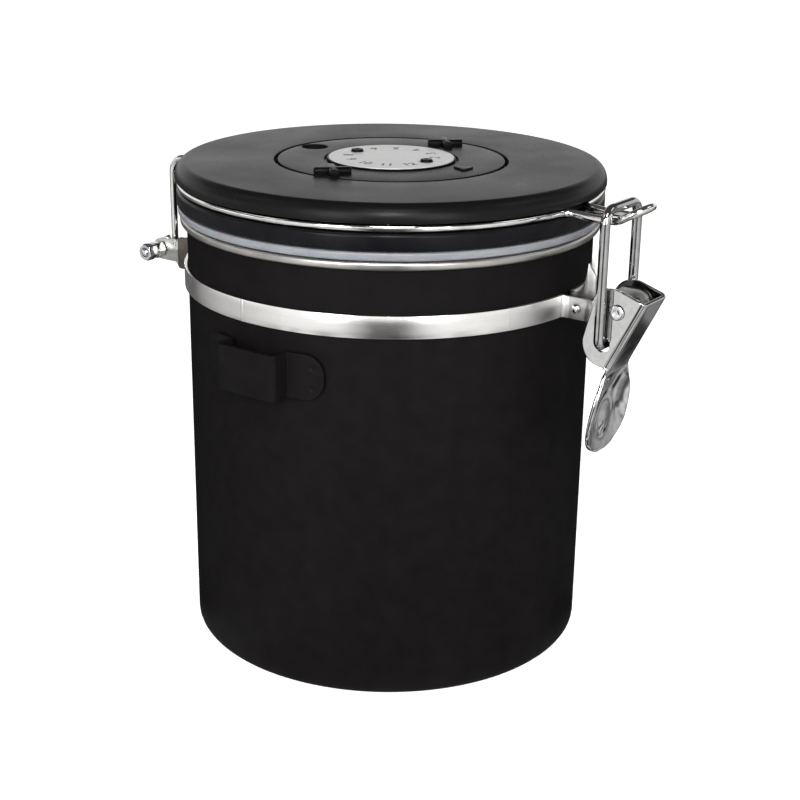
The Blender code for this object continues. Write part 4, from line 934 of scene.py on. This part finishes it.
def build_lever():
    """One pressing: a dished tab, and a web with a cheek bent back at each side."""
    bottom, top = Vector((74.1, 90.4)), Vector((84.0, 110.6))
    slope = (top - bottom).normalized()
    inward = Vector((-slope.y, slope.x))
    width, bend = 6.4, 1.7
    leaf_rows, web_rows = 46, 60
    in_web, in_bend, in_cheek = 7, 7, 14
    # The free edge of a cheek, from the web's foot up to its top corner.
    edge = [(73.75, 91.1)] + arc(BAIL_HOLE, 6.2, radians(283), radians(172), 26)
    edge += arc((74.5, 107.6), 5.9, radians(180), radians(74), 24)
    free = resample([(out, up, 0) for out, up in edge], 0.45)
    rows = []

    def add_row(half):
        both = [(-x, out, up) for x, out, up in reversed(half)]
        both += [place for place in half if place[0] > 1e-9]
        rows.append([(x, -out, up) for x, out, up in both])

    for i in range(leaf_rows, 0, -1):
        share = i / leaf_rows
        out, up, half_width = leaf_at(share)
        half = []
        for u in spread(0.0, 1.0, in_web + in_bend + in_cheek):
            dish = 2.7 * sin(pi * min(share * 1.04, 1.0)) ** 0.9 * (1 - u ** 2.2)
            boss = 1.3 * exp(-((u * half_width / 3.0) ** 2 + ((share - 0.62) * 24 / 4.2) ** 2))
            half.append((half_width * u, out - dish + boss, up))
        add_row(half)
    for share in spread(0.0, 1.0, web_rows):
        foot = bottom + (top - bottom) * share
        rim = free[round(share * (len(free) - 1))].to_2d()
        start = foot + inward * bend
        if (rim - foot).dot(inward) < bend:
            start = foot + (rim - foot) * 0.7
        half = [(x, *foot) for x in spread(0.0, width - bend, in_web)]
        for turn in spread(0.0, pi / 2, in_bend)[1:]:
            spot = foot + (start - foot) * (1 - cos(turn))
            half.append((width - bend + bend * sin(turn), *spot))
        for part in spread(0.0, 1.0, in_cheek)[1:]:
            half.append((width, *(start + (rim - start) * part)))
        add_row(half)
    # The inside of the web and cheeks takes the painted shade finish.
    lever = shell_grid("latch_lever", rows, 1.1, "lever_plate", "lever_inside_shade", leaf_rows + 2)
    for radius, (out, up) in ((1.62, LEVER_PIVOT), (2.2, BAIL_HOLE)):
        pierce(lever, circle(radius, 56, (-out, up)), -9, 9, along_x)
    repaint(lever, "tab_plate", lambda p: p.z < 89.0)
    smooth(lever.data, 60.0)
    dress(lever, "lever", "chrome_plate", "latch_lever")


def build_bail():
    foot, side, top = 4.6, 8.6, 133.8
    out, up = BAIL_HOLE
    half = [(-foot, -out, up), (-side, -out, up), (-side, -out, top)]
    route = rounded_route(half + [(-x, y, z) for x, y, z in reversed(half)], [1.7, 3.6, 3.6, 1.7])
    dress(tube("latch_bail", resample(route, 0.5), 1.3, "bail_plate", 26), "bail", "chrome_wire",
          "latch_bail")


for build in (build_can, build_band, build_rivets, build_bracket, build_bolt, build_holder,
              build_lid, build_ring, build_under_lid, build_date_ring, build_hub, build_lever,
              build_bail):
    build()


# ---------------------------------------------------------------- stage, light, camera

# All in metres. The camera was fitted to the photograph's ellipses.
CAMERA_TURN = radians(-54)
PITCH, YAW, ROLL = 0.345325, 0.007973, 0.014657
DISTANCE, HEIGHT = 0.42482, 0.21819
FOCAL_PIXELS, IMAGE_PIXELS, SENSOR_MM = 1535.29, 800, 36.0
FLOOR_SIZE, FLOOR_UP, SHEEN_UP = 6.0, -0.0002, 0.0003
# What gloss sees of the floor: share of the half turn away from the camera, tone.
SHEEN = ((0.0, 0.10), (0.045, 0.13), (0.070, 0.36), (0.11, 0.90), (0.17, 1.05), (0.27, 1.0),
         (0.40, 0.72), (0.50, 0.58), (0.60, 0.42), (0.70, 0.12), (0.90, 0.10), (1.0, 0.45))
# Name, place as toward_camera takes it, height that it looks at, size, power.
LAMPS = (("key", (0.75, 0.02, 0.95), 0.10, (0.36, 0.36), 2.4),
         ("spark", (0.60, 0.0, 0.41), 0.13, (0.06, 0.06), 2.4),
         ("front_left", (0.47, -0.25, 0.24), 0.07, (0.14, 0.28), 1.3),
         ("front_right", (0.50, 0.20, 0.24), 0.07, (0.14, 0.28), 0.8),
         ("left", (0.10, -1.0, 0.60), 0.08, (0.5, 0.9), 1.9),
         ("right", (0.10, 1.0, 0.60), 0.08, (0.5, 0.9), 2.6))


def toward_camera(out, side, height):
    """A place given out toward the camera, to the camera's right, and up."""
    ahead = Vector((sin(CAMERA_TURN), -cos(CAMERA_TURN), 0))
    right = Vector((cos(CAMERA_TURN), sin(CAMERA_TURN), 0))
    return ahead * out + right * side + Vector((0, 0, height))


def panel(name, corners, shade):
    bm = bmesh.new()
    bm.faces.new([bm.verts.new(corner) for corner in corners])
    item = from_bmesh(name, bm)
    item.data.materials.append(shade.material)
    return item


def gloss_only(item):
    """Stage that only gloss rays see: it lights nothing else and throws no shadow."""
    item.visible_camera = False
    item.visible_diffuse = False
    item.visible_shadow = False
    item.visible_transmission = False


def seen_white(n):
    """One for rays from the camera, off gloss and through glass, else nought."""
    rays = n.node("LightPath")
    seen = n.math("MAXIMUM", rays["Is Camera Ray"], rays["Is Transmission Ray"])
    return n.math("MAXIMUM", seen, rays["Is Glossy Ray"])


def build_floor():
    s = Shade("floor_white")
    glow = s.node("Emission", {"Strength": s.times(seen_white(s), 0.67)})
    plain = s.node("BsdfDiffuse", {"Color": (0.8, 0.8, 0.8, 1)})
    s.show(s.node("AddShader", {0: plain[0], 1: glow[0]})[0])
    corners = [(x * FLOOR_SIZE, y * FLOOR_SIZE, FLOOR_UP)
               for x, y in ((-1, -1), (1, -1), (1, 1), (-1, 1))]
    panel("floor", corners, s)


def build_world():
    """A plain level of light, and white where the world itself is seen."""
    world = bpy.data.worlds.new("studio")
    bpy.context.scene.world = world
    world.use_nodes = True
    n = Nodes(world.node_tree)
    plain, white = (n.node("Background", {"Color": (1, 1, 1, 1), "Strength": strength})[0]
                    for strength in (0.42, 1.0))
    mix = n.node("MixShader", {0: seen_white(n), 1: plain, 2: white})
    n.fill(n.tree.nodes["World Output"], {"Surface": mix[0]})


def build_sheen():
    """The floor as gloss sees it: dark before the camera, pale beside it, mottled near by."""
    bm = bmesh.new()
    inner, outer = ([bm.verts.new((x, y, SHEEN_UP)) for x, y in circle(radius)]
                    for radius in (0.060, 2.5))
    bridge(bm, [inner, outer])
    s = Shade("floor_sheen")
    out, side = (s.node("VectorMath", {0: s.place, 1: toward_camera(*way)},
                        operation="DOT_PRODUCT")["Value"] for way in ((1, 0, 0), (0, 1, 0)))
    turn = s.add(s.math("ARCTAN2", side, out), radians(2.0))
    ramp = s.tree.nodes.new("ShaderNodeValToRGB")
    s.fill(ramp, {"Fac": s.math("DIVIDE", s.math("ABSOLUTE", turn), pi)})
    stops = ramp.color_ramp.elements
    for position, _ in SHEEN[1:-1]:
        stops.new(position)
    for stop, (_, tone) in zip(stops, SHEEN):
        stop.color = (tone, tone, tone, 1)
    reach = s.node("VectorMath", {0: s.place}, operation="LENGTH")["Value"]
    spots = s.span(s.noise(26.0, 1.0), -0.92, 0.25, 0.42, 0.60)
    strength = s.add(s.times(s.span(reach, 1.0, 0.0, 0.18, 0.27), spots), 1.0)
    s.show(s.node("Emission", {"Color": ramp.outputs["Color"], "Strength": strength})[0])
    item = from_bmesh("floor_sheen", bm)
    item.data.materials.append(s.material)
    gloss_only(item)


def build_card(name, corners, tone):
    s = Shade(name)
    s.show(s.node("Emission", {"Color": (tone, tone, tone, 1)})[0])
    gloss_only(panel(name, corners, s))


def build_cards():
    """An upright card at each side of the object, and the unlit top of the studio."""
    reach, half, low, high = 0.60, radians(22), 0.22, 0.50
    for name, turn in (("left_card", radians(-88)), ("right_card", radians(88))):
        corners = [toward_camera(reach * cos(turn + step), reach * sin(turn + step), up)
                   for step, up in ((-half, low), (half, low), (half, high), (-half, high))]
        build_card(name, corners, 0.18)
    build_card("ceiling", [(x, y, 1.1) for x, y in circle(2.2)], 0.08)


def build_lamps():
    for name, place, target, size, power in LAMPS:
        lamp = bpy.data.lights.new(name, "AREA")
        lamp.shape = "RECTANGLE"
        lamp.size, lamp.size_y = size
        lamp.energy = power
        item = link(name, lamp)
        item.location = toward_camera(*place)
        line = Vector((0, 0, target)) - item.location
        item.rotation_euler = line.to_track_quat("-Z", "Y").to_euler()


def build_camera():
    data = bpy.data.cameras.new("camera")
    data.sensor_width = SENSOR_MM
    data.lens = FOCAL_PIXELS / IMAGE_PIXELS * SENSOR_MM
    data.clip_start = 0.01
    camera = link("camera", data)
    ahead = Vector((sin(YAW) * cos(PITCH), cos(YAW) * cos(PITCH), -sin(PITCH)))
    right = ahead.cross(Vector((0, 0, 1))).normalized()
    up = right.cross(ahead)
    side = right * cos(ROLL) + up * sin(ROLL)
    above = up * cos(ROLL) - right * sin(ROLL)
    pose = Matrix(((side.x, above.x, -ahead.x, 0), (side.y, above.y, -ahead.y, -DISTANCE),
                   (side.z, above.z, -ahead.z, HEIGHT), (0, 0, 0, 1)))
    camera.matrix_world = Matrix.Rotation(CAMERA_TURN, 4, "Z") @ pose
    bpy.context.scene.camera = camera


for build in (build_floor, build_world, build_sheen, build_cards, build_lamps, build_camera):
    build()
bpy.context.scene.view_settings.view_transform = "Standard"
